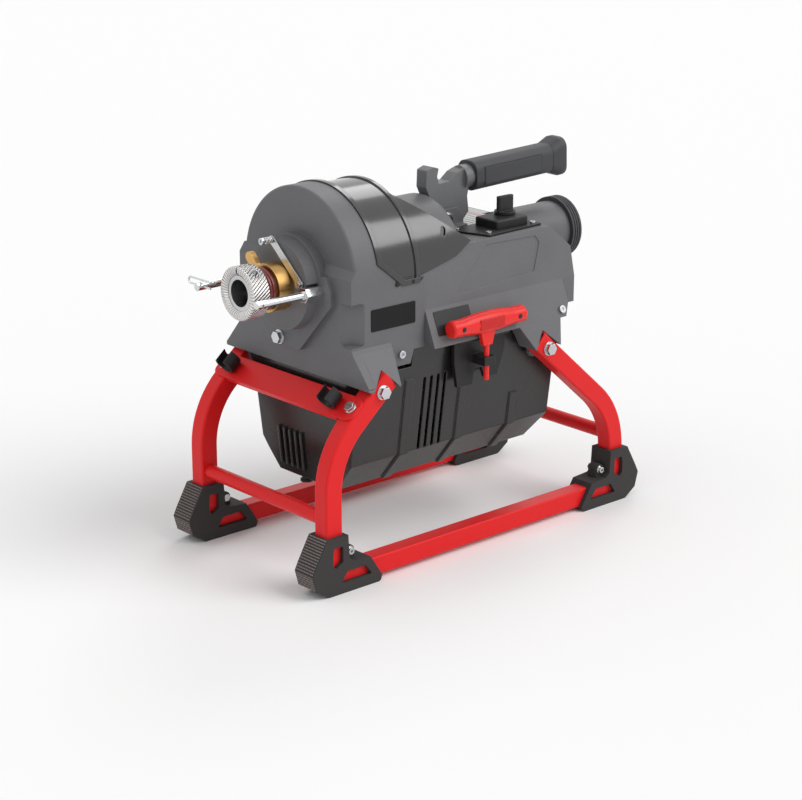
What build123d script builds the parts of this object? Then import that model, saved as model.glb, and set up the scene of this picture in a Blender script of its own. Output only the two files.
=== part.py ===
"""Sectional drain snake machine: grey cast body on a red tube stand, built piece by piece.

Units are millimetres.  +Z is up and the floor is z = 0.  -Y is the cable outlet (the front),
+X is the side with the name plate and the pin key.  X = 0 is the spindle's plane.  The pieces
are drawn from a datum datum_y from the middle of the machine's length, and save() moves them.
"""

import os
from math import atan2, cos, degrees, hypot, radians, sin, sqrt

from build123d import *

os.makedirs("parts", exist_ok=True)

datum_y = -16.0  # puts Y = 0 midway between the foremost and the rearmost point

# --- Fits and clearances -----------------------------------------------------------------
running_fit = 0.05  # radial, a shaft that turns in its bush or bearing
bolt_fit = 0.25  # radial, a bolt in its clearance hole
seat_gap = 0.3  # between a loose piece and what carries it
moving_gap = 0.6  # between pieces on different moving bodies

# --- Stand: bent square tube -------------------------------------------------------------
stand_half_width = 149.0  # outer face of the legs
leg_width = 25.4
leg_depth = 28.0
tube_wall = 2.0
tube_corner = 3.0
leg_bottom = 6.5
front_leg_y = -248.0
rear_leg_y = 295.0
leg_bend_radius = 120.0
front_bend_z = 135.0
rear_bend_z = 80.0
leg_lean = 49.0  # degrees from upright, above the bend
leg_top_z = 277.0
rail_height = 27.0
cross_tube_radius = 10.0
cross_tube_z = 100.5
cross_tube_wall = 2.0
crossbar_width = 37.0
crossbar_thickness = 3.0
leg_bolt_radius = 5.0
leg_bolt_z = 263.0
flange_radius = 10.0
hex_across = 15.0
hex_height = 6.5

# --- Shoes -------------------------------------------------------------------------------
shoe_wall = 6.5  # outboard and inboard of the tubes
shoe_height = 81.0
shoe_toe = 29.0  # how far the toe stands before the leg
shoe_heel = 69.0  # how far the shoe runs along the rail
shoe_fit = 0.2
lug_half = 8.0  # half thickness of the clamp lug in the shoe's notch
lug_radius = 8.0
clamp_screw_radius = 3.0

# --- Body castings -----------------------------------------------------------------------
body_half_width = 118.5
drum_centre_z = 400.0
spindle_z = 389.0
casting_wall = 5.0
plate_y = -191.0  # front face of the lower front plate
plate_step = 8.5  # how far it stands before the upper front face
step_z = 417.0
step_rise = 12.0
plate_foot_z = 269.0
flare_half_width = 154.0
flare_top_z = 311.0
housing_split_y = -61.0
body_rear_y = 228.0
deck_z = 425.0
deck_half_width = 102.0
shoulder_z = 350.0
skirt_z = 300.0
skirt_half_width = 139.0
skirt_rear_y = 203.0
skirt_step_z = 312.0
tail_z = 392.0
tail_run = 36.0

# --- Belt cover --------------------------------------------------------------------------
cover_front_y = -144.0
cover_step_y = -69.0
cover_radius = 114.5
cover_rim_radius = 120.5
cover_rear_radius = 109.0
cover_wall = 3.5
cover_rim_width = 7.5
cover_rib_width = 6.0
cover_rib_height = 2.0

# --- Shroud below the body ---------------------------------------------------------------
shroud_front_y = -186.0
shroud_rear_y = 200.0
shroud_top_half = 117.0
shroud_crease_half = 96.0
shroud_crease_z = 146.0
shroud_bottom_half = 62.0
shroud_bottom_z = 104.0
shroud_wall = 3.5
shroud_lean = 15.0  # how far the front face's foot stands back
shroud_lean_z = 250.0
slot_count = 4
slot_pitch = 12.7
slot_width = 5.5
slot_first_y = -53.0

# --- Spindle and nose --------------------------------------------------------------------
cable_bore_radius = 18.5
spindle_radius = 24.0
collar_radius = 36.5
collar_length = 28.0
collar_front_y = -287.0
ring_count = 3
ring_radius = 2.4
ring_pitch = 5.0
bush_radius = 33.0
bush_length = 24.0
hub_radius = 68.0
hub_front_radius = 61.0
hub_front_y = -217.0
guide_pin_x = 64.0
guide_pin_radius = 5.5
guide_pin_tip_y = -306.0
guide_hex_across = 19.0
guide_hex_length = 28.0
bearing_radius = 40.0
bearing_width = 18.0
spindle_rear_y = 208.0
guide_tube_radius = 40.0
guide_tube_wall = 5.0
guide_tube_rear_y = 302.0
tail_ring_radius = 46.0
tail_ring_width = 18.0

# --- Drive -------------------------------------------------------------------------------
belt_y = -115.0
belt_width = 18.0
belt_thickness = 6.0
big_pulley_radius = 80.0
small_pulley_radius = 24.0
motor_z = 195.0
motor_radius = 60.0
motor_front_y = -80.0
motor_length = 190.0
motor_shaft_radius = 8.0
fan_radius = 52.0

# --- Clutch and lever --------------------------------------------------------------------
clutch_dome_radius = 88.0
clutch_dome_front_y = -66.0
clutch_dome_rear_y = 38.0
jaw_count = 3
jaw_y = -20.0
jaw_length = 30.0
sleeve_radius = 33.0
sleeve_length = 44.0
sleeve_groove = 10.4
pivot_y = 72.0
pivot_z = 440.0
pivot_radius = 6.0
lever_thickness = 20.0
lever_travel = 6.0  # degrees
grip_radius = 21.5
grip_front_y = 128.0
grip_rear_y = 308.0
grip_z = 493.0
grip_tilt = 2.0  # degrees, the rear end up

# --- Switch ------------------------------------------------------------------------------
switch_x = 52.0
switch_y = 140.0
switch_plate_length = 106.0
switch_plate_width = 80.0
switch_plate_thickness = 3.0
switch_box_height = 12.0
knob_radius = 15.0
knob_height = 38.0

# --- Pin key and its holder --------------------------------------------------------------
key_x = 143.3
key_y = 31.0
key_z = 323.0
key_length = 138.0
key_radius = 12.0
key_stem_radius = 4.0

# --- Worked-out places -------------------------------------------------------------------
leg_x = stand_half_width - leg_width / 2
leg_inner = stand_half_width - leg_width
shoe_half_width = stand_half_width + shoe_wall
shoe_inner = leg_inner - shoe_wall
rail_z = leg_bottom + rail_height / 2
upper_y = plate_y + plate_step
drum_top_z = drum_centre_z + body_half_width
bush_front_y = hub_front_y - bush_length
bearing_front_y = hub_front_y + 12.0
lean_y = sin(radians(leg_lean))
lean_z = cos(radians(leg_lean))
belt_front_y = belt_y - belt_width / 2


def save(piece, label):
    """Move a finished piece to the machine's middle, label it and write its own STEP file."""
    placed = piece.part.moved(Location((0, datum_y, 0)))
    placed.label = label
    export_step(placed, f"parts/{label}.step")


def facing(y):
    """Plane across the machine at y: local x is X, local y is Z, and it looks forwards."""
    return Plane.XZ.offset(-y)


def arch(radius, foot_z):
    """Upright sides from foot_z, closed by a half circle over the drum centre."""
    with BuildSketch() as outline:
        with BuildLine():
            Line((-radius, drum_centre_z), (-radius, foot_z))
            Line((-radius, foot_z), (radius, foot_z))
            Line((radius, foot_z), (radius, drum_centre_z))
            CenterArc((0, drum_centre_z), radius, 0, 180)
        make_face()
    return outline.sketch


def bolt(place, length):
    """Flanged hex bolt: its head stands out along place's normal, its shank runs inwards."""
    with BuildPart(mode=Mode.PRIVATE) as fastener:
        with BuildSketch(place):
            Circle(flange_radius)
        extrude(amount=1.6)
        with BuildSketch(place.offset(1.6)):
            RegularPolygon(hex_across / 2, 6, major_radius=False)
        extrude(amount=hex_height)
        with BuildSketch(place):
            Circle(leg_bolt_radius)
        extrude(amount=-length)
    return fastener.part


def machine_screw(place, head_radius, head_height, length):
    """Round-headed hexagon socket screw: head along place's normal, shank inwards."""
    with BuildPart(mode=Mode.PRIVATE) as fastener:
        with BuildSketch(place):
            Circle(head_radius)
        extrude(amount=head_height)
        with BuildSketch(place):
            Circle(head_radius / 2)
        extrude(amount=-length)
        with BuildSketch(place.offset(head_height)):
            RegularPolygon(head_radius / 2, 6)
        extrude(amount=-head_height / 2, mode=Mode.SUBTRACT)
    return fastener.part


# ======================================================================================
# Stand
# ======================================================================================
def leg_points(foot_y, bend_z, turn):
    """Foot, start and end of the bend, and top of a leg's centre line, as (y, z)."""
    bend_end_y = foot_y + turn * leg_bend_radius * (1 - lean_z)
    bend_end_z = bend_z + leg_bend_radius * lean_y
    rise = leg_top_z - bend_end_z
    top_y = bend_end_y + turn * rise * lean_y / lean_z
    return (foot_y, leg_bottom), (foot_y, bend_z), (bend_end_y, bend_end_z), (top_y, leg_top_z)


def leg_bolt_place(foot_y, bend_z, turn):
    """Y of the bolt near the top of a leg."""
    foot, start, end, top = leg_points(foot_y, bend_z, turn)
    return top[0] - turn * (leg_top_z - leg_bolt_z) * lean_y / lean_z


front_bolt_y = leg_bolt_place(front_leg_y, front_bend_z, 1)
rear_bolt_y = leg_bolt_place(rear_leg_y, rear_bend_z, -1)


def bent_leg(x, foot_y, bend_z, turn):
    """One bent tube leg: upright in the shoe, then leaning towards the body."""
    foot, start, end, top = leg_points(foot_y, bend_z, turn)
    run = hypot(top[0] - end[0], top[1] - end[1])
    foot_plane = Plane((x, foot_y, leg_bottom))
    bend_plane = Plane((x, foot_y, bend_z))
    slope_plane = Plane((x, end[0], end[1]), x_dir=(1, 0, 0), z_dir=(0, turn * lean_y, lean_z))
    bend_axis = Axis((x, foot_y + turn * leg_bend_radius, bend_z), (-turn, 0, 0))
    with BuildPart() as leg:
        for inset, mode in ((0, Mode.ADD), (tube_wall, Mode.SUBTRACT)):
            section = (leg_width - 2 * inset, leg_depth - 2 * inset, tube_corner - inset / 2)
            with BuildSketch(foot_plane):
                RectangleRounded(*section)
            extrude(amount=bend_z - leg_bottom, mode=mode)
            with BuildSketch(bend_plane):
                RectangleRounded(*section)
            revolve(axis=bend_axis, revolution_arc=leg_lean, mode=mode)
            with BuildSketch(slope_plane):
                RectangleRounded(*section)
            extrude(amount=run, mode=mode)
        bolt_y = leg_bolt_place(foot_y, bend_z, turn)
        with BuildSketch(Plane.YZ.offset(x)):
            with Locations((bolt_y, leg_bolt_z)):
                Circle(leg_bolt_radius + bolt_fit)
        extrude(amount=leg_width, both=True, mode=Mode.SUBTRACT)
    return leg


for side, side_x in (("left", -leg_x), ("right", leg_x)):
    save(bent_leg(side_x, front_leg_y, front_bend_z, 1), f"front_leg_{side}")
    save(bent_leg(side_x, rear_leg_y, rear_bend_z, -1), f"rear_leg_{side}")

rail_front_y = front_leg_y + leg_depth / 2
rail_rear_y = rear_leg_y - leg_depth / 2
for side, side_x in (("left", -leg_x), ("right", leg_x)):
    with BuildPart() as rail:
        with BuildSketch(facing(rail_front_y)):
            with Locations((side_x, rail_z)):
                RectangleRounded(leg_width, rail_height, tube_corner)
                RectangleRounded(
                    leg_width - 2 * tube_wall,
                    rail_height - 2 * tube_wall,
                    tube_corner - tube_wall / 2,
                    mode=Mode.SUBTRACT,
                )
        extrude(amount=-(rail_rear_y - rail_front_y))
    save(rail, f"side_rail_{side}")

with BuildPart() as cross_tubes:
    with BuildSketch(Plane.YZ.offset(-leg_inner)):
        with Locations((front_leg_y, cross_tube_z), (rear_leg_y, cross_tube_z)):
            Circle(cross_tube_radius)
            Circle(cross_tube_radius - cross_tube_wall, mode=Mode.SUBTRACT)
    extrude(amount=2 * leg_inner)
save(cross_tubes, "cross_tubes")

# The crossbar lies on the leaning front faces of both front legs and is bolted to them.
_, _, bend_end, leg_top = leg_points(front_leg_y, front_bend_z, 1)
leg_slope = Plane(
    origin=(0, leg_top[0] - lean_z * leg_depth / 2, leg_top[1] + lean_y * leg_depth / 2),
    x_dir=(1, 0, 0),
    z_dir=(0, -lean_z, lean_y),
)
crossbar_mid = -65.0  # down the slope from the leg's top edge
crossbar_bolt_x = leg_x
with BuildPart() as front_crossbar:
    with BuildSketch(leg_slope):
        with Locations((0, crossbar_mid)):
            RectangleRounded(2 * leg_x + crossbar_width - 12, crossbar_width, 12)
    extrude(amount=crossbar_thickness)
    with BuildSketch(leg_slope):
        with Locations((0, crossbar_mid + crossbar_width / 2 - crossbar_thickness / 2)):
            Rectangle(2 * (leg_inner - 4), crossbar_thickness)
        with Locations((0, crossbar_mid - crossbar_width / 2 + crossbar_thickness / 2)):
            Rectangle(2 * (leg_inner - 4), crossbar_thickness)
    extrude(amount=-8)
    with BuildSketch(leg_slope):
        with Locations((-crossbar_bolt_x, crossbar_mid), (crossbar_bolt_x, crossbar_mid)):
            Circle(4 + bolt_fit)
    extrude(amount=crossbar_thickness, mode=Mode.SUBTRACT)
save(front_crossbar, "front_crossbar")

with BuildPart() as crossbar_bolts:
    for bolt_x in (-crossbar_bolt_x, crossbar_bolt_x):
        seat = leg_slope.offset(crossbar_thickness)
        with BuildSketch(seat):
            with Locations((bolt_x, crossbar_mid)):
                Circle(8)
        extrude(amount=1.4)
        with BuildSketch(seat.offset(1.4)):
            with Locations((bolt_x, crossbar_mid)):
                RegularPolygon(6.5, 6, major_radius=False)
        extrude(amount=5)
        with BuildSketch(seat):
            with Locations((bolt_x, crossbar_mid)):
                Circle(4)
        extrude(amount=-crossbar_thickness)
save(crossbar_bolts, "crossbar_bolts")

# Two open spring clips on the crossbar, for a hose or rod.
clip_radius = 12.0
clip_wall = 2.5
clip_width = 20.0
clip_xs = (-116.0, 104.0)
with BuildPart() as spring_clips:
    for clip_x in clip_xs:
        clip_face = Plane(
            origin=leg_slope.from_local_coords(
                (clip_x, crossbar_mid, crossbar_thickness + clip_radius + clip_wall)
            ),
            x_dir=(1, 0, 0),
            z_dir=leg_slope.y_dir,
        )
        with BuildSketch(clip_face):
            Circle(clip_radius + clip_wall)
            Circle(clip_radius, mode=Mode.SUBTRACT)
            with Locations((0, -clip_radius)):
                Rectangle(1.3 * clip_radius, 2 * clip_radius, mode=Mode.SUBTRACT)
        extrude(amount=clip_width / 2, both=True)
save(spring_clips, "spring_clips")


# --- Shoes: moulded feet that wrap the corner of leg and rail ----------------------------
def shoe_outline(turn, corner_y):
    """Side outline of a shoe, from the outer face of its leg, as (y, z) points."""
    points = (
        (-4, shoe_height),
        (leg_depth + 4, shoe_height),
        (leg_depth + 6, 48),
        (leg_depth + 13, 42),
        (shoe_heel + 2, 40),
        (shoe_heel + 22, 9),
        (shoe_heel + 20, 0),
        (-2, 0),
        (-shoe_toe + 6, 14),
        (-shoe_toe, 36),
        (-shoe_toe + 6, 48),
    )
    return [(corner_y + turn * y, z) for y, z in points]


screw_y = leg_depth + 15.0
screw_z = 53.0
leg_window = ((8, 68), (23, 67), (23, 45), (11, 38), (6, 43), (6, 60))
rail_window = ((30, 30), (62, 30), (74, 15), (20, 15))

for end_name, foot_y, turn in (("front", front_leg_y, 1), ("rear", rear_leg_y, -1)):
    corner_y = foot_y - turn * leg_depth / 2
    for side, hand in (("left", -1), ("right", 1)):
        with BuildPart() as shoe:
            with BuildSketch(Plane.YZ.offset(hand * leg_x)):
                with BuildLine():
                    Polyline(*shoe_outline(turn, corner_y), close=True)
                make_face()
            extrude(amount=leg_width / 2 + shoe_wall, both=True)
            long_edges = shoe.edges().filter_by(Axis.X)
            fillet(long_edges.group_by(Axis.Z)[0], 6)
            # Room for the leg, the rail and the cross tube.
            with BuildSketch(Plane((hand * leg_x, foot_y, leg_bottom - shoe_fit))):
                RectangleRounded(leg_width + 2 * shoe_fit, leg_depth + 2 * shoe_fit, tube_corner)
            extrude(amount=shoe_height, mode=Mode.SUBTRACT)
            with BuildSketch(facing(foot_y)):
                with Locations((hand * leg_x, rail_z)):
                    RectangleRounded(
                        leg_width + 2 * shoe_fit, rail_height + 2 * shoe_fit, tube_corner
                    )
            extrude(amount=-turn * (shoe_heel + 40), mode=Mode.SUBTRACT)
            # Windows through both side walls.
            for window in (leg_window, rail_window):
                with BuildSketch(Plane.YZ.offset(hand * leg_x)):
                    with BuildLine():
                        Polyline(*[(corner_y + turn * y, z) for y, z in window], close=True)
                    make_face()
                    fillet(vertices(), 2)
                extrude(amount=leg_width, both=True, mode=Mode.SUBTRACT)
            # Clamp lug in the notch, drilled across.
            with BuildSketch(Plane.YZ.offset(hand * leg_x)):
                with Locations((corner_y + turn * screw_y, screw_z)):
                    Circle(lug_radius)
                with Locations((corner_y + turn * screw_y, screw_z - 6)):
                    Rectangle(2 * lug_radius, 12)
            extrude(amount=lug_half, both=True)
            with BuildSketch(Plane.YZ.offset(hand * leg_x)):
                with Locations((corner_y + turn * screw_y, screw_z)):
                    Circle(clamp_screw_radius + bolt_fit)
            extrude(amount=leg_width, both=True, mode=Mode.SUBTRACT)
        save(shoe, f"{end_name}_shoe_{side}")

# One screw and nut close each shoe's clamp lug.
with BuildPart() as shoe_screws:
    for foot_y, turn in ((front_leg_y, 1), (rear_leg_y, -1)):
        corner_y = foot_y - turn * leg_depth / 2
        for hand in (-1, 1):
            seat = Plane(
                origin=(hand * (leg_x + lug_half), corner_y + turn * screw_y, screw_z),
                x_dir=(0, 1, 0),
                z_dir=(hand, 0, 0),
            )
            with BuildSketch(seat):
                Circle(6.5)
            extrude(amount=1.2)
            with BuildSketch(seat.offset(1.2)):
                Circle(4.6)
                RegularPolygon(2.4, 6, mode=Mode.SUBTRACT)
            extrude(amount=4)
            with BuildSketch(seat):
                Circle(clamp_screw_radius)
            extrude(amount=-(2 * lug_half + 4))
            with BuildSketch(seat.offset(-2 * lug_half)):
                RegularPolygon(5.8, 6)
            extrude(amount=-4)
save(shoe_screws, "shoe_screws")


# ======================================================================================
# Body castings
# ======================================================================================
def leg_end(foot_y, bend_z, turn):
    """Upper outer corner of a leg's square-cut end, as (y, z)."""
    top = leg_points(foot_y, bend_z, turn)[3]
    return top[0] - turn * lean_z * leg_depth / 2, top[1] + lean_y * leg_depth / 2


claw_gap = 1.2
claw_tip_z = 265.5
lug_thickness = leg_inner - body_half_width - 0.1


def claw_outline(foot_y, bend_z, turn, outer, top):
    """Side outline of the notched claw that caps a leg's end; outer and top are (y, z) runs."""
    corner_y, corner_z = leg_end(foot_y, bend_z, turn)
    apex_z = corner_z + claw_gap / lean_z
    drop = apex_z - claw_tip_z
    front_tip = (corner_y - turn * drop * lean_y / lean_z, claw_tip_z)
    rear_tip = (corner_y + turn * drop * lean_z / lean_y, claw_tip_z)
    return [*outer, *top, rear_tip, (corner_y, apex_z), front_tip]


def claw(hand, outline, face):
    """Add one claw: the side outline, cut back to the leaning outer face given as (x, z)."""
    with BuildPart(mode=Mode.PRIVATE) as horn:
        with BuildSketch(Plane.YZ.offset(hand * (body_half_width - casting_wall))):
            with BuildLine():
                Polyline(*outline, close=True)
            make_face()
        extrude(amount=hand * (flare_half_width - body_half_width + casting_wall))
        with BuildSketch(facing(plate_y)):
            with BuildLine():
                Polyline(*[(hand * x, z) for x, z in face], close=True)
            make_face()
        extrude(amount=-(body_rear_y - plate_y), mode=Mode.INTERSECT)
    return horn.part


def lug(hand, bolt_y, top_z):
    """Plate between the casting's wall and a leg, drilled for the leg's bolt."""
    with BuildPart(mode=Mode.PRIVATE) as plate:
        with BuildSketch(Plane.YZ.offset(hand * (body_half_width - 1))):
            with BuildLine():
                Polyline(
                    (bolt_y - 15, top_z),
                    (bolt_y - 13, leg_bolt_z - 10),
                    (bolt_y - 7, leg_bolt_z - 16),
                    (bolt_y + 7, leg_bolt_z - 16),
                    (bolt_y + 13, leg_bolt_z - 10),
                    (bolt_y + 15, top_z),
                    close=True,
                )
            make_face()
            with Locations((bolt_y, leg_bolt_z)):
                Circle(leg_bolt_radius + running_fit, mode=Mode.SUBTRACT)
        extrude(amount=hand * (lug_thickness + 1))
    return plate.part


# Side outline of the belt cover, from its front rim round to its pointed rear edge.
cover_outline = (
    (cover_front_y, drum_top_z + 20),
    (cover_front_y, 426),
    (-102, 391),
    (cover_step_y, 391),
    (-63, 396),
    (7, 413),
    (36, 429),
    (-32, 478),
    (-66, 503),
    (cover_step_y, drum_top_z + 20),
)
pad_outline = (
    (74, 410),
    (86, 392),
    (86, 372),
    (20, 300),
    (-40, 300),
    (-86, 352),
    (-86, 392),
    (-74, 410),
)
pad_y = plate_y - 8.5
front_bolt_xz = (-22.0, 310.0)
side_foot_z = 281.0
leg_relief = 2.5  # how much thinner the front plate is where the legs pass behind it
side_screw_yz = (-104.0, 297.0)
skirt_screw_yz = (186.0, 310.0)
side_screw_radius = 5.5
pocket_low_z = 320.0
pocket_high_z = 379.0
pocket_run = 23.0  # how far the pocket reaches along each face from the corner

with BuildPart() as front_apron:
    with BuildSketch(Plane.YZ):
        with BuildLine():
            Polyline(
                (plate_y, plate_foot_z),
                (plate_y, step_z - step_rise / 2),
                (upper_y, step_z + step_rise / 2),
                (upper_y + casting_wall, step_z + step_rise / 2),
                (upper_y + casting_wall, flare_top_z - 20),
                (upper_y + casting_wall - leg_relief, flare_top_z - 28),
                (upper_y + casting_wall - leg_relief, plate_foot_z),
                close=True,
            )
        make_face()
    extrude(amount=flare_half_width, both=True)
    with BuildSketch(facing(plate_y)):
        with BuildLine():
            Polyline(
                (-flare_half_width, plate_foot_z + 4),
                (-flare_half_width + 3, plate_foot_z),
                (flare_half_width - 3, plate_foot_z),
                (flare_half_width, plate_foot_z + 4),
                (body_half_width + 3, flare_top_z),
                (body_half_width, flare_top_z + 6),
                (body_half_width, step_z + step_rise),
                (-body_half_width, step_z + step_rise),
                (-body_half_width, flare_top_z + 6),
                (-body_half_width - 3, flare_top_z),
                close=True,
            )
        make_face()
    extrude(amount=-40, mode=Mode.INTERSECT)

with BuildPart() as front_housing:
    with BuildSketch(facing(upper_y)):
        add(arch(body_half_width, plate_foot_z))
    extrude(amount=-(housing_split_y - upper_y))
    fillet(front_housing.edges().filter_by(GeomType.CIRCLE).sort_by(Axis.Y)[0], 4)
    with BuildSketch(facing(upper_y + casting_wall)):
        add(arch(body_half_width - casting_wall, plate_foot_z - 1))
    extrude(amount=-(housing_split_y - upper_y), mode=Mode.SUBTRACT)
    # The side walls' lower edge steps up towards the rear.
    with BuildSketch(Plane.YZ):
        with BuildLine():
            Polyline(
                (-122, plate_foot_z - 5),
                (-122, side_foot_z),
                (-87, side_foot_z),
                (-81, skirt_z),
                (housing_split_y + 1, skirt_z),
                (housing_split_y + 1, plate_foot_z - 5),
                close=True,
            )
        make_face()
    extrude(amount=body_half_width + 1, both=True, mode=Mode.SUBTRACT)
    # Opening that the belt cover closes.
    with BuildSketch(Plane.YZ):
        with BuildLine():
            Polyline(*cover_outline, close=True)
        make_face()
        with Locations((housing_split_y - 4, drum_top_z - 20)):
            Rectangle(20, 60)
    extrude(amount=body_half_width + 5, both=True, mode=Mode.SUBTRACT)
    add(front_apron.part)
    for hand in (-1, 1):
        front_claw = claw_outline(
            front_leg_y,
            front_bend_z,
            1,
            ((plate_y, plate_foot_z), (plate_y, flare_top_z + 6)),
            ((-122, flare_top_z + 6), (-122, flare_top_z)),
        )
        front_face = (
            (body_half_width - casting_wall, flare_top_z + 6),
            (body_half_width, flare_top_z + 6),
            (body_half_width + 3, flare_top_z),
            (flare_half_width, plate_foot_z),
            (flare_half_width, claw_tip_z),
            (body_half_width + 0.05, claw_tip_z),
            (body_half_width + 0.05, plate_foot_z + 1),
            (body_half_width - casting_wall, plate_foot_z + 1),
        )
        add(claw(hand, front_claw, front_face))
        add(lug(hand, front_bolt_y, 292))
    # Scooped pocket in each front corner, with its own wall behind.
    for hand in (-1, 1):
        with BuildSketch(Plane.XY.offset(pocket_low_z - 7)):
            with BuildLine():
                Polyline(
                    (hand * 86, upper_y + 2),
                    (hand * (body_half_width - 2), upper_y + 2),
                    (hand * (body_half_width - 2), -156),
                    (hand * (body_half_width - casting_wall - 1), -156),
                    close=True,
                )
            make_face()
        extrude(amount=pocket_high_z - pocket_low_z + 14)
        pocket_face = Plane(
            origin=(
                hand * (body_half_width - pocket_run / 2),
                plate_y + pocket_run / 2,
                (pocket_low_z + pocket_high_z) / 2,
            ),
            x_dir=(1, hand, 0),
            z_dir=(hand, -1, 0),
        )
        with BuildSketch(pocket_face):
            RectangleRounded(pocket_run * sqrt(2), pocket_high_z - pocket_low_z, 6)
        extrude(amount=30, mode=Mode.SUBTRACT)
    # Raised pad and the stepped hub that carries the nose.
    with BuildSketch(facing(plate_y)):
        with BuildLine():
            Polyline(*pad_outline, close=True)
        make_face()
    extrude(amount=plate_y - pad_y)
    with BuildSketch(facing(upper_y)):
        with Locations((0, spindle_z)):
            Circle(hub_radius)
    extrude(amount=upper_y - pad_y)
    with BuildSketch(facing(pad_y)):
        with Locations((0, spindle_z)):
            Circle(hub_front_radius + 2)
    extrude(amount=pad_y - hub_front_y, taper=6)
    with BuildSketch(facing(hub_front_y)):
        with Locations((0, spindle_z)):
            Circle(bush_radius - 3)
    extrude(amount=-60, mode=Mode.SUBTRACT)
    with BuildSketch(facing(bearing_front_y)):
        with Locations((0, spindle_z)):
            Circle(bearing_radius)
    extrude(amount=-60, mode=Mode.SUBTRACT)
    with BuildSketch(facing(pad_y)):
        with Locations((-guide_pin_x, spindle_z), (guide_pin_x, spindle_z)):
            Circle(guide_hex_across * 0.64)
    extrude(amount=pad_y - hub_front_y + 1, mode=Mode.SUBTRACT)
    with BuildSketch(Plane.YZ):
        with Locations(side_screw_yz):
            Circle(side_screw_radius / 2 + running_fit)
    extrude(amount=body_half_width + 5, both=True, mode=Mode.SUBTRACT)
    with BuildSketch(facing(pad_y)):
        with Locations((-guide_pin_x, spindle_z), (guide_pin_x, spindle_z)):
            Circle(guide_pin_radius + running_fit)
        with Locations(front_bolt_xz):
            Circle(leg_bolt_radius + running_fit)
    extrude(amount=-10, mode=Mode.SUBTRACT)
save(front_housing, "front_housing")

rear_wall_y = body_rear_y - casting_wall
skirt_slope = (skirt_half_width - body_half_width) / (shoulder_z - skirt_z)
rear_outline = (
    (skirt_half_width, skirt_z),
    (body_half_width, shoulder_z),
    (deck_half_width, deck_z),
)
inner_outline = (
    (skirt_half_width - casting_wall, skirt_z + 4),
    (body_half_width - casting_wall, shoulder_z - 2),
    (deck_half_width - casting_wall, deck_z - casting_wall),
)


def both_sides(points):
    """Mirror an outline given for the right-hand side, to close it across the middle."""
    return [*points, *[(-x, z) for x, z in reversed(points)]]


finger_slot = (24.0, 30.0)
recess_yz = ((66, 418), (162, 416), (168, 406), (150, 368), (-4, 360))
recess_depth = 1.2
side_lean = atan2(body_half_width - deck_half_width, deck_z - shoulder_z)
side_rise = cos(side_lean)


def side_face(hand):
    """Leaning upper side of the rear housing: local x is Y, local y runs up the slope."""
    return Plane(
        origin=(hand * body_half_width, 0, shoulder_z),
        x_dir=(0, hand, 0),
        z_dir=(hand * cos(side_lean), 0, sin(side_lean)),
    )


facet_lean = degrees(atan2(skirt_half_width - body_half_width, shoulder_z - skirt_z))


def skirt_seat(hand):
    """Seat of the screw on the rear skirt's leaning face."""
    screw_y_place, screw_z_place = skirt_screw_yz
    seat_x = body_half_width + skirt_slope * (shoulder_z - screw_z_place)
    return Plane(
        origin=(hand * seat_x, screw_y_place, screw_z_place),
        x_dir=(0, 1, 0),
        z_dir=(hand * cos(radians(facet_lean)), 0, sin(radians(facet_lean))),
    )


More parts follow.
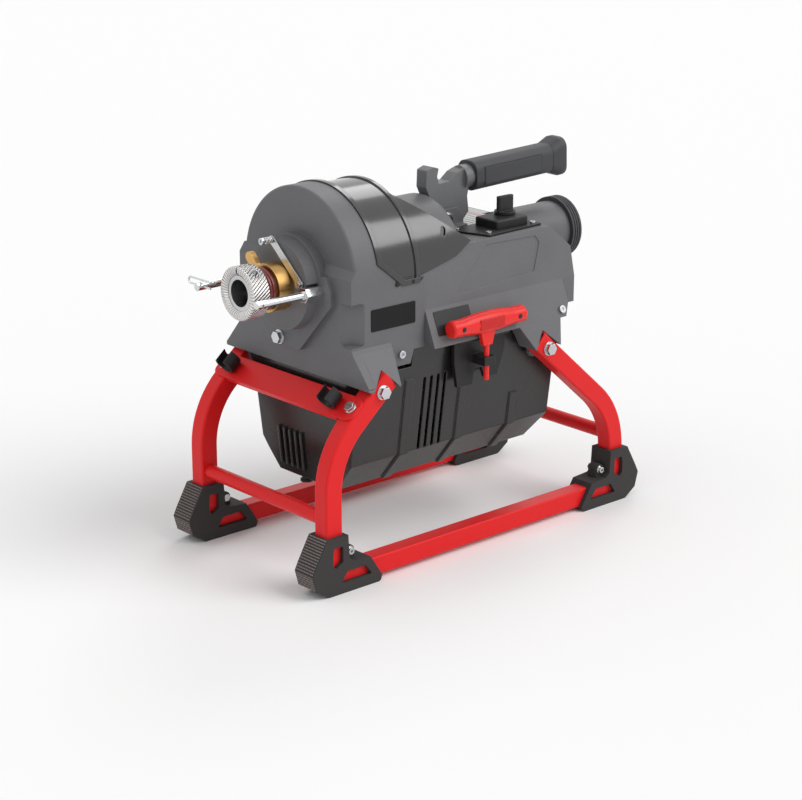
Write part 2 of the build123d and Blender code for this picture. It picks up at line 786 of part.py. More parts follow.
with BuildPart() as rear_housing:
    with BuildSketch(facing(housing_split_y)):
        with BuildLine():
            Polyline(*both_sides(rear_outline), close=True)
        make_face()
    extrude(amount=-(body_rear_y - housing_split_y))
    with BuildSketch(Plane.YZ):
        with BuildLine():
            Polyline(
                (body_rear_y - tail_run, deck_z),
                (body_rear_y, tail_z),
                (body_rear_y, deck_z),
                close=True,
            )
        make_face()
    extrude(amount=body_half_width + 40, both=True, mode=Mode.SUBTRACT)
    # Hollow, with an inward ledge at the foot that the shroud hangs from.
    with BuildSketch(facing(housing_split_y)):
        with BuildLine():
            Polyline(*both_sides(inner_outline), close=True)
        make_face()
    extrude(amount=-(body_rear_y - tail_run - 6 - housing_split_y), mode=Mode.SUBTRACT)
    with BuildSketch(facing(housing_split_y)):
        with Locations((0, skirt_z + 40)):
            Rectangle(2 * (shroud_top_half - 8), 90)
    extrude(amount=-(rear_wall_y - housing_split_y), mode=Mode.SUBTRACT)
    # Wall that closes the front end of each leaning skirt, and the skirt's cut-back rear.
    for hand in (-1, 1):
        with BuildSketch(facing(housing_split_y)):
            with BuildLine():
                Polyline(
                    (hand * (body_half_width - casting_wall), shoulder_z - 3),
                    (hand * body_half_width, shoulder_z),
                    (hand * skirt_half_width, skirt_z),
                    (hand * (body_half_width - casting_wall), skirt_z),
                    close=True,
                )
            make_face()
        extrude(amount=-casting_wall)
        with BuildSketch(Plane.YZ.offset(hand * body_half_width)):
            with BuildLine():
                Polyline(
                    (skirt_rear_y, shoulder_z + 1),
                    (skirt_rear_y, skirt_step_z + 6),
                    (skirt_rear_y - 13, skirt_z - 4),
                    (body_rear_y + 1, skirt_z - 4),
                    (body_rear_y + 1, shoulder_z + 1),
                    close=True,
                )
            make_face()
        extrude(amount=hand * 40, mode=Mode.SUBTRACT)
    with BuildSketch(Plane.YZ):
        with Locations((skirt_rear_y + 2 + 20, skirt_step_z - 20)):
            Rectangle(40, 40)
    extrude(amount=body_half_width + 1, both=True, mode=Mode.SUBTRACT)
    # Clear of the belt cover's side walls, then openings for the dome and the lever's finger.
    for hand in (-1, 1):
        with BuildSketch(Plane.YZ.offset(hand * (cover_rear_radius - cover_wall - 4))):
            with BuildLine():
                Polyline(*cover_outline, close=True)
            make_face()
        extrude(amount=hand * 20, mode=Mode.SUBTRACT)
    with BuildSketch(Plane.XY.offset(deck_z - casting_wall)):
        with Locations((0, (housing_split_y + clutch_dome_rear_y - 6) / 2)):
            Rectangle(150, clutch_dome_rear_y - 6 - housing_split_y)
        with Locations((0, pivot_y)):
            Rectangle(*finger_slot)
    extrude(amount=2 * casting_wall, mode=Mode.SUBTRACT)
    # Shallow bare recess on each leaning side.
    for hand in (-1, 1):
        with BuildSketch(side_face(hand)):
            with BuildLine():
                Polyline(
                    *[(hand * y, (z - shoulder_z) / side_rise) for y, z in recess_yz],
                    close=True,
                )
            make_face()
            fillet(vertices(), 3)
        extrude(amount=-recess_depth, mode=Mode.SUBTRACT)
    # Room for the clutch sleeve under the deck.
    with BuildSketch(facing(pivot_y - sleeve_length / 2 - 6)):
        with Locations((0, spindle_z)):
            Circle(sleeve_radius + 1)
    extrude(amount=-(sleeve_length + 12), mode=Mode.SUBTRACT)
    for hand in (-1, 1):
        with BuildSketch(skirt_seat(hand)):
            Circle(side_screw_radius / 2 + running_fit)
        extrude(amount=-5, mode=Mode.SUBTRACT)
    # Seat for the guide tube.
    with BuildSketch(facing(body_rear_y - 48)):
        with Locations((0, spindle_z)):
            Circle(guide_tube_radius)
    extrude(amount=-60, mode=Mode.SUBTRACT)
    for hand in (-1, 1):
        rear_claw = claw_outline(
            rear_leg_y,
            rear_bend_z,
            -1,
            ((168, claw_tip_z), (182, skirt_z + 4)),
            ((96, skirt_z + 4), (100, skirt_z - 1)),
        )
        rear_face = (
            (body_half_width + 0.05, skirt_z + 4),
            (skirt_half_width - 4 * skirt_slope, skirt_z + 4),
            (skirt_half_width + skirt_slope * (skirt_z - claw_tip_z), claw_tip_z),
            (body_half_width + 0.05, claw_tip_z),
        )
        add(claw(hand, rear_claw, rear_face))
        add(lug(hand, rear_bolt_y, skirt_z + 1))
save(rear_housing, "rear_housing")

with BuildPart() as clutch_dome:
    with BuildSketch(facing(housing_split_y)):
        with Locations((0, spindle_z)):
            Circle(clutch_dome_radius)
            Circle(clutch_dome_radius - casting_wall, mode=Mode.SUBTRACT)
        with Locations((0, deck_z - 100)):
            Rectangle(2 * clutch_dome_radius, 200, mode=Mode.SUBTRACT)
    extrude(amount=-(clutch_dome_rear_y - housing_split_y))
    with BuildSketch(facing(clutch_dome_rear_y - casting_wall)):
        with Locations((0, spindle_z)):
            Circle(clutch_dome_radius)
        with Locations((0, deck_z - 100)):
            Rectangle(2 * clutch_dome_radius, 200, mode=Mode.SUBTRACT)
    extrude(amount=-casting_wall)
save(clutch_dome, "clutch_dome")

# --- Belt cover ------------------------------------------------------------------------
with BuildPart() as cover_band:
    with BuildSketch(facing(cover_front_y)):
        add(arch(cover_radius, 380))
    extrude(amount=-(cover_step_y - cover_front_y))
    with BuildSketch(facing(cover_step_y)):
        add(arch(cover_rear_radius, 380))
    extrude(amount=-(36 - cover_step_y))
    with BuildSketch(facing(cover_step_y - cover_rib_width)):
        add(arch(cover_radius + cover_rib_height, 380))
    extrude(amount=-cover_rib_width)
with BuildPart() as cover_hollow:
    with BuildSketch(facing(cover_front_y)):
        add(arch(cover_radius - cover_wall, 370))
    extrude(amount=-(cover_step_y - cover_wall - cover_front_y))
    with BuildSketch(facing(cover_front_y)):
        add(arch(cover_rear_radius - cover_wall, 370))
    extrude(amount=-(40 - cover_front_y))
with BuildPart() as cover_rim:
    with BuildSketch(facing(cover_front_y)):
        add(arch(cover_rim_radius, 380))
    extrude(amount=-(36 - cover_front_y))
    with BuildSketch(Plane.YZ):
        with BuildLine():
            Polyline(*cover_outline, close=True)
        make_face()
        with BuildLine():
            Polyline(
                (cover_front_y + cover_rim_width, drum_top_z + 30),
                (cover_front_y + cover_rim_width, 429),
                (-99, 391 + cover_rim_width),
                (cover_step_y - 2, 391 + cover_rim_width),
                (cover_step_y - 2, drum_top_z + 30),
                close=True,
            )
        make_face(mode=Mode.SUBTRACT)
        with Locations((cover_step_y + 100, 460)):
            Rectangle(204, 200, mode=Mode.SUBTRACT)
    extrude(amount=cover_rim_radius + 1, both=True, mode=Mode.INTERSECT)
with BuildPart() as belt_cover:
    add(cover_band.part)
    with BuildSketch(Plane.YZ):
        with BuildLine():
            Polyline(*cover_outline, close=True)
        make_face()
    extrude(amount=cover_rim_radius + 1, both=True, mode=Mode.INTERSECT)
    add(cover_rim.part)
    add(cover_hollow.part, mode=Mode.SUBTRACT)
    with BuildSketch(Plane.YZ):
        with Locations((-10, 447)):
            SlotOverall(14, 8, rotation=62)
    extrude(amount=cover_rim_radius, mode=Mode.SUBTRACT)
save(belt_cover, "belt_cover")


# --- Shroud ----------------------------------------------------------------------------
def shroud_half(z):
    """Half width of the shroud's leaning side at height z."""
    share = (z - shroud_crease_z) / (skirt_z - shroud_crease_z)
    return shroud_crease_half + share * (shroud_top_half - shroud_crease_half)


def shroud_section(grow, top_z):
    """Section of the shroud up to top_z, grown outwards by grow."""
    return both_sides(
        (
            (shroud_half(top_z) + grow, top_z),
            (shroud_crease_half + grow, shroud_crease_z - grow / 2),
            (shroud_bottom_half + grow / 2, shroud_bottom_z - grow),
        )
    )


rib_places = ((-82.0, 15.0, 256.0), (20.0, 12.0, 239.0), (124.0, 14.0, 193.0))
rib_depth = 2.5
shroud_step_y = -80.5
shroud_front_top = 274.0


def lean_cut(inward):
    """Region in front of the leaning front face, moved inwards, as (y, z) points."""
    face_y = shroud_front_y + inward
    return (
        (face_y, skirt_z + 5),
        (face_y, shroud_lean_z),
        (face_y + shroud_lean, shroud_bottom_z),
        (face_y + shroud_lean, shroud_bottom_z - 10),
        (shroud_front_y - 5, shroud_bottom_z - 10),
        (shroud_front_y - 5, skirt_z + 5),
    )


with BuildPart() as shroud_hollow:
    with BuildSketch(facing(shroud_front_y + 16)):
        with BuildLine():
            Polyline(*shroud_section(-shroud_wall, skirt_z + 1), close=True)
        make_face()
    extrude(amount=-(shroud_rear_y - shroud_front_y - 16 - 16))
    with BuildSketch(facing(shroud_front_y + shroud_wall)):
        with BuildLine():
            Polyline(*shroud_section(-16 - shroud_wall, skirt_z + 1), close=True)
        make_face()
    extrude(amount=-(shroud_rear_y - shroud_front_y - 2 * shroud_wall))
    with BuildSketch(Plane.YZ):
        with BuildLine():
            Polyline(*lean_cut(shroud_wall + 0.5), close=True)
        make_face()
    extrude(amount=shroud_top_half + 10, both=True, mode=Mode.SUBTRACT)

with BuildPart() as lower_shroud:
    with BuildSketch(facing(shroud_front_y)):
        with BuildLine():
            Polyline(*shroud_section(0, skirt_z), close=True)
        make_face()
    extrude(amount=-(shroud_rear_y - shroud_front_y))
    corners = lower_shroud.edges().filter_by(Axis.X, reverse=True).filter_by(Axis.Y, reverse=True)
    front_corners = corners.group_by(Axis.Y)[0].sort_by(Axis.Z)
    chamfer(front_corners, 12)
    with BuildSketch(Plane.YZ):
        with BuildLine():
            Polyline(
                (shroud_rear_y, shroud_bottom_z - 5),
                (shroud_rear_y, shroud_bottom_z + 36),
                (shroud_rear_y - 14, shroud_bottom_z - 5),
                close=True,
            )
        make_face()
    extrude(amount=shroud_top_half + 10, both=True, mode=Mode.SUBTRACT)
    for rib_y, rib_width, rib_top in rib_places:
        with BuildSketch(facing(rib_y - rib_width / 2)):
            with BuildLine():
                Polyline(*shroud_section(rib_depth, rib_top), close=True)
            make_face()
        extrude(amount=-rib_width)
    with BuildSketch(Plane.YZ):
        with BuildLine():
            Polyline(*lean_cut(0), close=True)
        make_face()
    extrude(amount=shroud_top_half + 10, both=True, mode=Mode.SUBTRACT)
    add(shroud_hollow.part, mode=Mode.SUBTRACT)
    # The front part is lower, inside the front housing's walls.
    with BuildSketch(Plane.YZ):
        with Locations((shroud_step_y - 100, shroud_front_top + 50)):
            Rectangle(200, 100)
        with Locations((upper_y + casting_wall + seat_gap - 50, plate_foot_z - seat_gap + 50)):
            Rectangle(100, 100)
    extrude(amount=shroud_top_half + 5, both=True, mode=Mode.SUBTRACT)
    # Cooling slots on the right-hand side.
    with BuildSketch(Plane.YZ.offset(shroud_bottom_half)):
        for count in range(slot_count):
            with Locations((slot_first_y + count * slot_pitch, (253 + 145) / 2)):
                SlotOverall(253 - 145, slot_width, rotation=90)
    extrude(amount=80, mode=Mode.SUBTRACT)
save(lower_shroud, "lower_shroud")

with BuildPart() as cord_gland:
    with BuildSketch(Plane((-22, shroud_front_y + 30, shroud_bottom_z - 12))):
        Circle(9)
    extrude(amount=3)
    with BuildSketch(Plane((-22, shroud_front_y + 30, shroud_bottom_z - 9))):
        Circle(6.5)
    extrude(amount=9)
save(cord_gland, "cord_gland")


# --- Bolts and plates on the body --------------------------------------------------------
with BuildPart() as flange_bolts:
    for hand in (-1, 1):
        for bolt_y in (front_bolt_y, rear_bolt_y):
            seat = Plane(
                origin=(hand * stand_half_width, bolt_y, leg_bolt_z),
                x_dir=(0, 1, 0),
                z_dir=(hand, 0, 0),
            )
            add(bolt(seat, stand_half_width - body_half_width + 1))
    front_seat = Plane(
        origin=(front_bolt_xz[0], pad_y, front_bolt_xz[1]), x_dir=(1, 0, 0), z_dir=(0, -1, 0)
    )
    add(bolt(front_seat, 9))
save(flange_bolts, "flange_bolts")

name_plate_size = (78.0, 30.0)
with BuildPart() as name_plate:
    with BuildSketch(Plane.YZ.offset(body_half_width)):
        with Locations((-118, 352)):
            RectangleRounded(*name_plate_size, 2)
    extrude(amount=0.8)
save(name_plate, "name_plate")

facet = Plane(
    origin=(body_half_width, 0, shoulder_z),
    x_dir=(0, 1, 0),
    z_dir=(cos(radians(facet_lean)), 0, sin(radians(facet_lean))),
)
with BuildPart() as rating_plate:
    with BuildSketch(facet):
        with Locations((-16, -22)):
            RectangleRounded(66, 34, 2)
    extrude(amount=0.6)
save(rating_plate, "rating_plate")

with BuildPart() as housing_screws:
    for hand in (-1, 1):
        front_seat = Plane(
            origin=(hand * body_half_width, *side_screw_yz), x_dir=(0, 1, 0), z_dir=(hand, 0, 0)
        )
        add(machine_screw(front_seat, side_screw_radius, 4, 4))
        add(machine_screw(skirt_seat(hand), side_screw_radius, 4, 4))
save(housing_screws, "housing_screws")


# ======================================================================================
# Spindle, nose and guide tube
# ======================================================================================
collar_rear_y = collar_front_y + collar_length
rings_front_y = collar_rear_y + 0.3
slot_opening = (10.0, jaw_length + 1.0)
clip_y = guide_pin_tip_y + 9  # cross hole near the tip of a guide pin


def rod(front_y, rear_y, radius, bore=0.0, x=0.0, z=spindle_z):
    """Round bar or tube along Y between two places."""
    with BuildPart(mode=Mode.PRIVATE) as bar:
        with BuildSketch(facing(front_y)):
            with Locations((x, z)):
                Circle(radius)
                if bore:
                    Circle(bore, mode=Mode.SUBTRACT)
        extrude(amount=-(rear_y - front_y))
    return bar.part


with BuildPart() as spindle_tube:
    add(rod(collar_front_y + 4, spindle_rear_y, spindle_radius, cable_bore_radius))
    for count in range(jaw_count):
        angle = 90 + count * 360 / jaw_count
        with BuildSketch(
            Plane(
                origin=(0, jaw_y + jaw_length / 2, spindle_z),
                x_dir=(0, 1, 0),
                z_dir=(cos(radians(angle)), 0, sin(radians(angle))),
            )
        ):
            Rectangle(slot_opening[1], slot_opening[0])
        extrude(amount=spindle_radius + 2, mode=Mode.SUBTRACT)
save(spindle_tube, "spindle_tube")

with BuildPart() as clutch_jaws:
    for count in range(jaw_count):
        angle = 90 + count * 360 / jaw_count
        with BuildSketch(
            Plane(
                origin=(
                    (cable_bore_radius + 0.5) * cos(radians(angle)),
                    jaw_y + jaw_length / 2,
                    spindle_z + (cable_bore_radius + 0.5) * sin(radians(angle)),
                ),
                x_dir=(0, 1, 0),
                z_dir=(cos(radians(angle)), 0, sin(radians(angle))),
            )
        ):
            Rectangle(jaw_length, slot_opening[0] - 2 * seat_gap)
        extrude(amount=8.5)
save(clutch_jaws, "clutch_jaws")

with BuildPart() as nose_collar:
    add(rod(collar_front_y, collar_rear_y, collar_radius, spindle_radius))
    chamfer(nose_collar.edges().filter_by(GeomType.CIRCLE).sort_by(SortBy.RADIUS)[-2:], 1.5)
    # Dished mouth that leads the cable into the bore.
    with BuildSketch(Plane.YZ):
        with BuildLine():
            Polyline(
                (collar_front_y - 1, spindle_z),
                (collar_front_y - 1, spindle_z + 30),
                (collar_front_y + 4, spindle_z + spindle_radius - 1),
                (collar_front_y + 4, spindle_z),
                close=True,
            )
        make_face()
    revolve(axis=Axis((0, 0, spindle_z), (0, 1, 0)), mode=Mode.SUBTRACT)
    # Lengthwise split at the top, closed by the screw.
    with BuildSketch(facing(collar_front_y)):
        with Locations((0, spindle_z + collar_radius)):
            Rectangle(3, 40)
    extrude(amount=-collar_length, mode=Mode.SUBTRACT)
    with BuildSketch(Plane.YZ.offset(-collar_radius)):
        with Locations((collar_front_y + 15, spindle_z + 29.5)):
            Circle(2.5 + running_fit)
    extrude(amount=2 * collar_radius, mode=Mode.SUBTRACT)
    with BuildSketch(Plane.YZ.offset(12)):
        with Locations((collar_front_y + 15, spindle_z + 29.5)):
            Circle(5)
    extrude(amount=40, mode=Mode.SUBTRACT)
save(nose_collar, "nose_collar")

with BuildPart() as collar_screw:
    seat = Plane(
        origin=(12, collar_front_y + 15, spindle_z + 29.5), x_dir=(0, 1, 0), z_dir=(1, 0, 0)
    )
    add(machine_screw(seat, 4.6, 5, 26))
    with BuildSketch(seat):
        Circle(2.5)
    extrude(amount=-26)
save(collar_screw, "collar_screw")

with BuildPart() as spindle_rings:
    for count in range(ring_count):
        ring_y = rings_front_y + count * ring_pitch
        add(rod(ring_y, ring_y + 2 * ring_radius, 30, spindle_radius))
    outer = spindle_rings.edges().filter_by(GeomType.CIRCLE).group_by(SortBy.RADIUS)[-1]
    fillet(outer, ring_radius - 0.3)
save(spindle_rings, "spindle_rings")

with BuildPart() as brass_bush:
    add(rod(hub_front_y - bush_length, hub_front_y, bush_radius, spindle_radius + running_fit))
    add(rod(hub_front_y, bearing_front_y, bush_radius - 3, spindle_radius + running_fit))
    with BuildSketch(facing(hub_front_y - bush_length + 2)):
        with Locations(Location((-30, spindle_z + 30), -45)):
            SlotOverall(30, 14)
        with Locations((0, spindle_z)):
            Circle(spindle_radius + 2, mode=Mode.SUBTRACT)
    extrude(amount=-8)
save(brass_bush, "brass_bush")

with BuildPart() as front_bearing:
    add(rod(bearing_front_y, bearing_front_y + bearing_width, bearing_radius, 24.05))
    for face_y in (bearing_front_y, bearing_front_y + bearing_width - 1):
        add(rod(face_y, face_y + 1, 36, 29), mode=Mode.SUBTRACT)
save(front_bearing, "front_bearing")

with BuildPart() as rear_bearing:
    add(rod(spindle_rear_y - bearing_width, spindle_rear_y, 35, 24.05))
    add(rod(spindle_rear_y - 1, spindle_rear_y, 32, 27), mode=Mode.SUBTRACT)
save(rear_bearing, "rear_bearing")

with BuildPart() as guide_pins:
    for pin_x in (-guide_pin_x, guide_pin_x):
        add(rod(guide_pin_tip_y, pad_y + 9, guide_pin_radius, x=pin_x))
    chamfer(guide_pins.edges().group_by(Axis.Y)[0], 1.2)
    with BuildSketch(facing(pad_y)):
        with Locations((-guide_pin_x, spindle_z), (guide_pin_x, spindle_z)):
            RegularPolygon(guide_hex_across / 2, 6, major_radius=False)
    extrude(amount=guide_hex_length)
    with BuildSketch(Plane.YZ):
        with Locations((clip_y, spindle_z)):
            Circle(1.8)
    extrude(amount=guide_pin_x + 20, both=True, mode=Mode.SUBTRACT)
save(guide_pins, "guide_pins")

# Link arm: a flat strip that turns on a screw in the hub, held by a small spring.
arm_screw_xz = (48.5, 400.0)
arm_tip_xz = (-9.5, 450.0)
arm_angle = degrees(atan2(arm_tip_xz[1] - arm_screw_xz[1], arm_tip_xz[0] - arm_screw_xz[0]))
arm_length = hypot(arm_tip_xz[1] - arm_screw_xz[1], arm_tip_xz[0] - arm_screw_xz[0])
arm_middle = (
    (arm_screw_xz[0] + arm_tip_xz[0]) / 2,
    (arm_screw_xz[1] + arm_tip_xz[1]) / 2,
)
arm_y = hub_front_y - 3.6
with BuildPart() as link_arm:
    with BuildSketch(facing(arm_y)):
        with Locations(Location(arm_middle, arm_angle)):
            SlotOverall(arm_length + 11, 11)
        with Locations(arm_screw_xz):
            Circle(2.5 + running_fit, mode=Mode.SUBTRACT)
        with Locations(arm_tip_xz):
            Circle(2.5 + running_fit, mode=Mode.SUBTRACT)
    extrude(amount=-3)
save(link_arm, "link_arm")

with BuildPart() as link_screws:
    add(rod(arm_y - 0.3, hub_front_y, 2.5, x=arm_screw_xz[0], z=arm_screw_xz[1]))
    add(rod(arm_y - 4.3, arm_y - 0.3, 4.8, x=arm_screw_xz[0], z=arm_screw_xz[1]))
    add(rod(arm_y - 14, arm_y + 3, 2.5, x=arm_tip_xz[0], z=arm_tip_xz[1]))
    add(rod(arm_y - 18, arm_y - 14, 4.8, x=arm_tip_xz[0], z=arm_tip_xz[1]))
    with BuildSketch(facing(arm_y - 18)):
        with Locations(arm_screw_xz, arm_tip_xz):
            RegularPolygon(2.2, 6)
    extrude(amount=-2, mode=Mode.SUBTRACT)
save(link_screws, "link_screws")

spring_wire = 0.7
with BuildPart() as link_spring:
    with BuildLine():
        coil = Helix(
            pitch=2.4,
            height=11.6,
            radius=3.9,
            center=(arm_tip_xz[0], arm_y - spring_wire - 0.3, arm_tip_xz[1]),
            direction=(0, -1, 0),
        )
    with BuildSketch(Plane(origin=coil @ 0, z_dir=coil % 0)):
        Circle(spring_wire)
    sweep(is_frenet=True)
save(link_spring, "link_spring")

# Hitch clip through the left guide pin: a straight leg, a loop and a leg over the pin.
clip_wire = 1.4
clip_bend = 4.3
clip_inner_x = -guide_pin_x + 20
clip_outer_x = -guide_pin_x - 24
with BuildPart() as hitch_clip:
    with BuildLine(facing(clip_y)):
        straight = Line((clip_inner_x, spindle_z), (clip_outer_x, spindle_z))
        CenterArc((clip_outer_x, spindle_z + clip_bend), clip_bend, 90, 180)
        Line(
            (clip_outer_x, spindle_z + 2 * clip_bend),
            (clip_inner_x + 2, spindle_z + 2 * clip_bend),
        )
    with BuildSketch(Plane(origin=straight @ 0, z_dir=straight % 0)):
        Circle(clip_wire)
    sweep()
save(hitch_clip, "hitch_clip")

with BuildPart() as guide_tube:
    add(rod(body_rear_y - 48, guide_tube_rear_y, guide_tube_radius, 35))
    add(rod(spindle_rear_y, spindle_rear_y + 4, 36, 30))
save(guide_tube, "guide_tube")

with BuildPart() as tail_ring:
    add(rod(guide_tube_rear_y - 2, guide_tube_rear_y + 16, tail_ring_radius, guide_tube_radius))
    add(rod(guide_tube_rear_y, guide_tube_rear_y + 16, tail_ring_radius, 35))
    for count in range(3):
        groove_y = guide_tube_rear_y + 1.5 + count * 4.5
        add(
            rod(groove_y, groove_y + 1.8, tail_ring_radius + 1, tail_ring_radius - 2),
            mode=Mode.SUBTRACT,
        )
save(tail_ring, "tail_ring")

with BuildPart() as guide_funnel:
    with BuildSketch(Plane.YZ):
        with BuildLine():
            Polyline(
                (spindle_rear_y + 6, spindle_z + cable_bore_radius + 0.5),
                (guide_tube_rear_y + 12, spindle_z + 32),
                (guide_tube_rear_y + 12, spindle_z + 34.7),
                (guide_tube_rear_y - 6, spindle_z + 34.7),
                (spindle_rear_y + 10, spindle_z + cable_bore_radius + 4),
                (spindle_rear_y + 6, spindle_z + cable_bore_radius + 4),
                close=True,
            )
        make_face()
    revolve(axis=Axis((0, 0, spindle_z), (0, 1, 0)))
save(guide_funnel, "guide_funnel")


# ======================================================================================
# Drive
# ======================================================================================
def belt_loop(grow):
    """Outline of a belt round both pulleys, grown from the pulleys' rims."""
    big = big_pulley_radius + grow
    small = small_pulley_radius + grow
    drop = spindle_z - motor_z
    rise = (big - small) / drop
    reach = sqrt(1 - rise**2)
    with BuildSketch() as loop:
        with Locations((0, spindle_z)):
            Circle(big)
        with Locations((0, motor_z)):
            Circle(small)
        with BuildLine():
            Polyline(
                (big * reach, spindle_z + big * rise),
                (small * reach, motor_z + small * rise),
                (-small * reach, motor_z + small * rise),
                (-big * reach, spindle_z + big * rise),
                close=True,
            )
        make_face()
    return loop.sketch


pulley_half = belt_width / 2 + 1
with BuildPart() as spindle_pulley:
    add(rod(belt_y - pulley_half, belt_y + pulley_half, big_pulley_radius, spindle_radius))
    for face_y in (belt_y - pulley_half, belt_y + 3):
        add(rod(face_y, face_y + pulley_half - 3, 70, 36), mode=Mode.SUBTRACT)
    with BuildSketch(facing(belt_y - pulley_half)):
        with Locations((0, spindle_z)):
            with PolarLocations(53, 5):
                Circle(11)
    extrude(amount=-2 * pulley_half, mode=Mode.SUBTRACT)
save(spindle_pulley, "spindle_pulley")

with BuildPart() as drive_belt:
    with BuildSketch(facing(belt_front_y)):
        add(belt_loop(seat_gap + belt_thickness))
        add(belt_loop(seat_gap), mode=Mode.SUBTRACT)
    extrude(amount=-belt_width)
save(drive_belt, "drive_belt")

with BuildPart() as motor_pulley:
    add(
        rod(
            belt_y - pulley_half, belt_y + pulley_half, small_pulley_radius, motor_shaft_radius,
            z=motor_z,
        )
    )
save(motor_pulley, "motor_pulley")

motor_rear_y = motor_front_y + motor_length
with BuildPart() as motor_shaft:
    add(rod(belt_y - pulley_half - 4, motor_rear_y + 22, motor_shaft_radius, z=motor_z))
    chamfer(motor_shaft.edges().filter_by(GeomType.CIRCLE), 1)
save(motor_shaft, "motor_shaft")

motor_bore = motor_shaft_radius + running_fit
with BuildPart() as motor_body:
    add(rod(motor_front_y, motor_rear_y, motor_radius, motor_bore, z=motor_z))
    with BuildSketch(facing(motor_front_y + 30)):
        with Locations((0, motor_z)):
            with PolarLocations(motor_radius, 24):
                Circle(2.5)
    extrude(amount=-(motor_length - 60), mode=Mode.SUBTRACT)
    add(rod(motor_front_y - 9, motor_front_y, 42, motor_bore, z=motor_z))
    add(rod(motor_rear_y, motor_rear_y + 3, 30, motor_bore, z=motor_z))
save(motor_body, "motor_body")

with BuildPart() as motor_fan:
    fan_y = motor_rear_y + 5
    add(rod(fan_y, fan_y + 15, 15, motor_shaft_radius, z=motor_z))
    add(rod(fan_y, fan_y + 2.5, fan_radius, motor_shaft_radius, z=motor_z))
    with BuildSketch(facing(fan_y)):
        with Locations((0, motor_z)):
            with PolarLocations(33, 9):
                Rectangle(38, 3)
    extrude(amount=-14)
save(motor_fan, "motor_fan")

mount_half = body_half_width - casting_wall - seat_gap
with BuildPart() as motor_mount:
    with BuildSketch(facing(motor_front_y - 15)):
        with BuildLine():
            Polyline(
                *both_sides(
                    (
                        (mount_half, 320),
                        (mount_half, side_foot_z + 4),
                        (78, 270),
                        (70, 135),
                    )
                ),
                close=True,
            )
        make_face()
        with Locations((0, motor_z)):
            Circle(motor_bore + 4, mode=Mode.SUBTRACT)
        with Locations((0, spindle_z)):
            Circle(74, mode=Mode.SUBTRACT)
    extrude(amount=-5.8)
save(motor_mount, "motor_mount")


# ======================================================================================
# Clutch sleeve and lever
# ======================================================================================
sleeve_front_y = pivot_y - sleeve_length / 2
sleeve_rear_y = pivot_y + sleeve_length / 2
with BuildPart() as thrust_sleeve:
    add(rod(jaw_y + jaw_length + 4, sleeve_rear_y, 29, spindle_radius + running_fit))
    add(rod(sleeve_front_y, sleeve_rear_y, sleeve_radius, spindle_radius + running_fit))
    groove_front = pivot_y - sleeve_groove / 2
    add(
        rod(groove_front, groove_front + sleeve_groove, sleeve_radius + 1, 27.5),
        mode=Mode.SUBTRACT,
    )
save(thrust_sleeve, "thrust_sleeve")

lever_half = lever_thickness / 2
ear_inner = lever_half + moving_gap
ear_outer = ear_inner + 7.0
grip_dir = (0, cos(radians(grip_tilt)), sin(radians(grip_tilt)))
grip_plane = Plane(
    origin=(0, grip_front_y, grip_z - 2), x_dir=(1, 0, 0), z_dir=(0, grip_dir[1], grip_dir[2])
)
lever_outline = (
    (40, 510),
    (52, 514),
    (63, 511),
    (60, 500),
    (63, 489),
    (84, 490),
    (97, 500),
    (113, 505),
    (121, 505),
    (121, 478),
    (118, 464),
    (121, 442),
    (110, 431),
    (81, 431),
    (64, 434),
    (62, 453),
    (50, 463),
    (39, 486),
)
with BuildPart() as lever:
    with BuildSketch(Plane.YZ):
        with BuildLine():
            Polyline(*lever_outline, close=True)
        make_face()
        fillet(vertices(), 2.5)
    extrude(amount=lever_half, both=True)
    # Finger that reaches through the deck into the sleeve's groove.
    finger_half = sleeve_groove / 2 - 0.5
    with BuildSketch(Plane.YZ):
        with Locations((pivot_y, 426)):
            Rectangle(2 * finger_half, 16)
    extrude(amount=7, both=True)
    # Socket and core that carry the grip.
    with BuildSketch(grip_plane.offset(-16)):
        Circle(17)
    extrude(amount=15.5)
    with BuildSketch(grip_plane.offset(-4)):
        RectangleRounded(18, 22, 4)
    extrude(amount=grip_rear_y - grip_front_y - 10)
    with BuildSketch(Plane.YZ):
        with Locations((pivot_y, pivot_z)):
            Circle(pivot_radius + running_fit)
    extrude(amount=lever_half, both=True, mode=Mode.SUBTRACT)
save(lever, "lever")

grip_length = grip_rear_y - grip_front_y
with BuildPart() as lever_grip:
    with BuildSketch(grip_plane):
        RectangleRounded(2 * grip_radius - 3, 2 * grip_radius, 15)
    extrude(amount=grip_length)
    with BuildSketch(grip_plane.offset(grip_length - 26)):
        RectangleRounded(2 * grip_radius - 2, 2 * grip_radius, 15)
    with BuildSketch(grip_plane.offset(grip_length - 8)):
        RectangleRounded(2 * grip_radius, 57, 15)
    loft()
    with BuildSketch(grip_plane.offset(grip_length - 8)):
        RectangleRounded(2 * grip_radius, 57, 15)
    extrude(amount=8)
    with BuildSketch(grip_plane):
        RectangleRounded(18, 22, 4)
    extrude(amount=grip_length - 14, mode=Mode.SUBTRACT)
save(lever_grip, "lever_grip")

with BuildPart() as pivot_pin:
    with BuildSketch(Plane.YZ.offset(-ear_outer - 1)):
        with Locations((pivot_y, pivot_z)):
            Circle(pivot_radius)
    extrude(amount=2 * ear_outer + 2)
    for hand in (-1, 1):
        seat = Plane(
            origin=(hand * ear_outer, pivot_y, pivot_z), x_dir=(0, 1, 0), z_dir=(hand, 0, 0)
        )
        with BuildSketch(seat):
            Circle(8.5)
        extrude(amount=1.2)
        with BuildSketch(seat.offset(1.2)):
            RegularPolygon(6.5, 6, major_radius=False)
        extrude(amount=4.5)
save(pivot_pin, "pivot_pin")

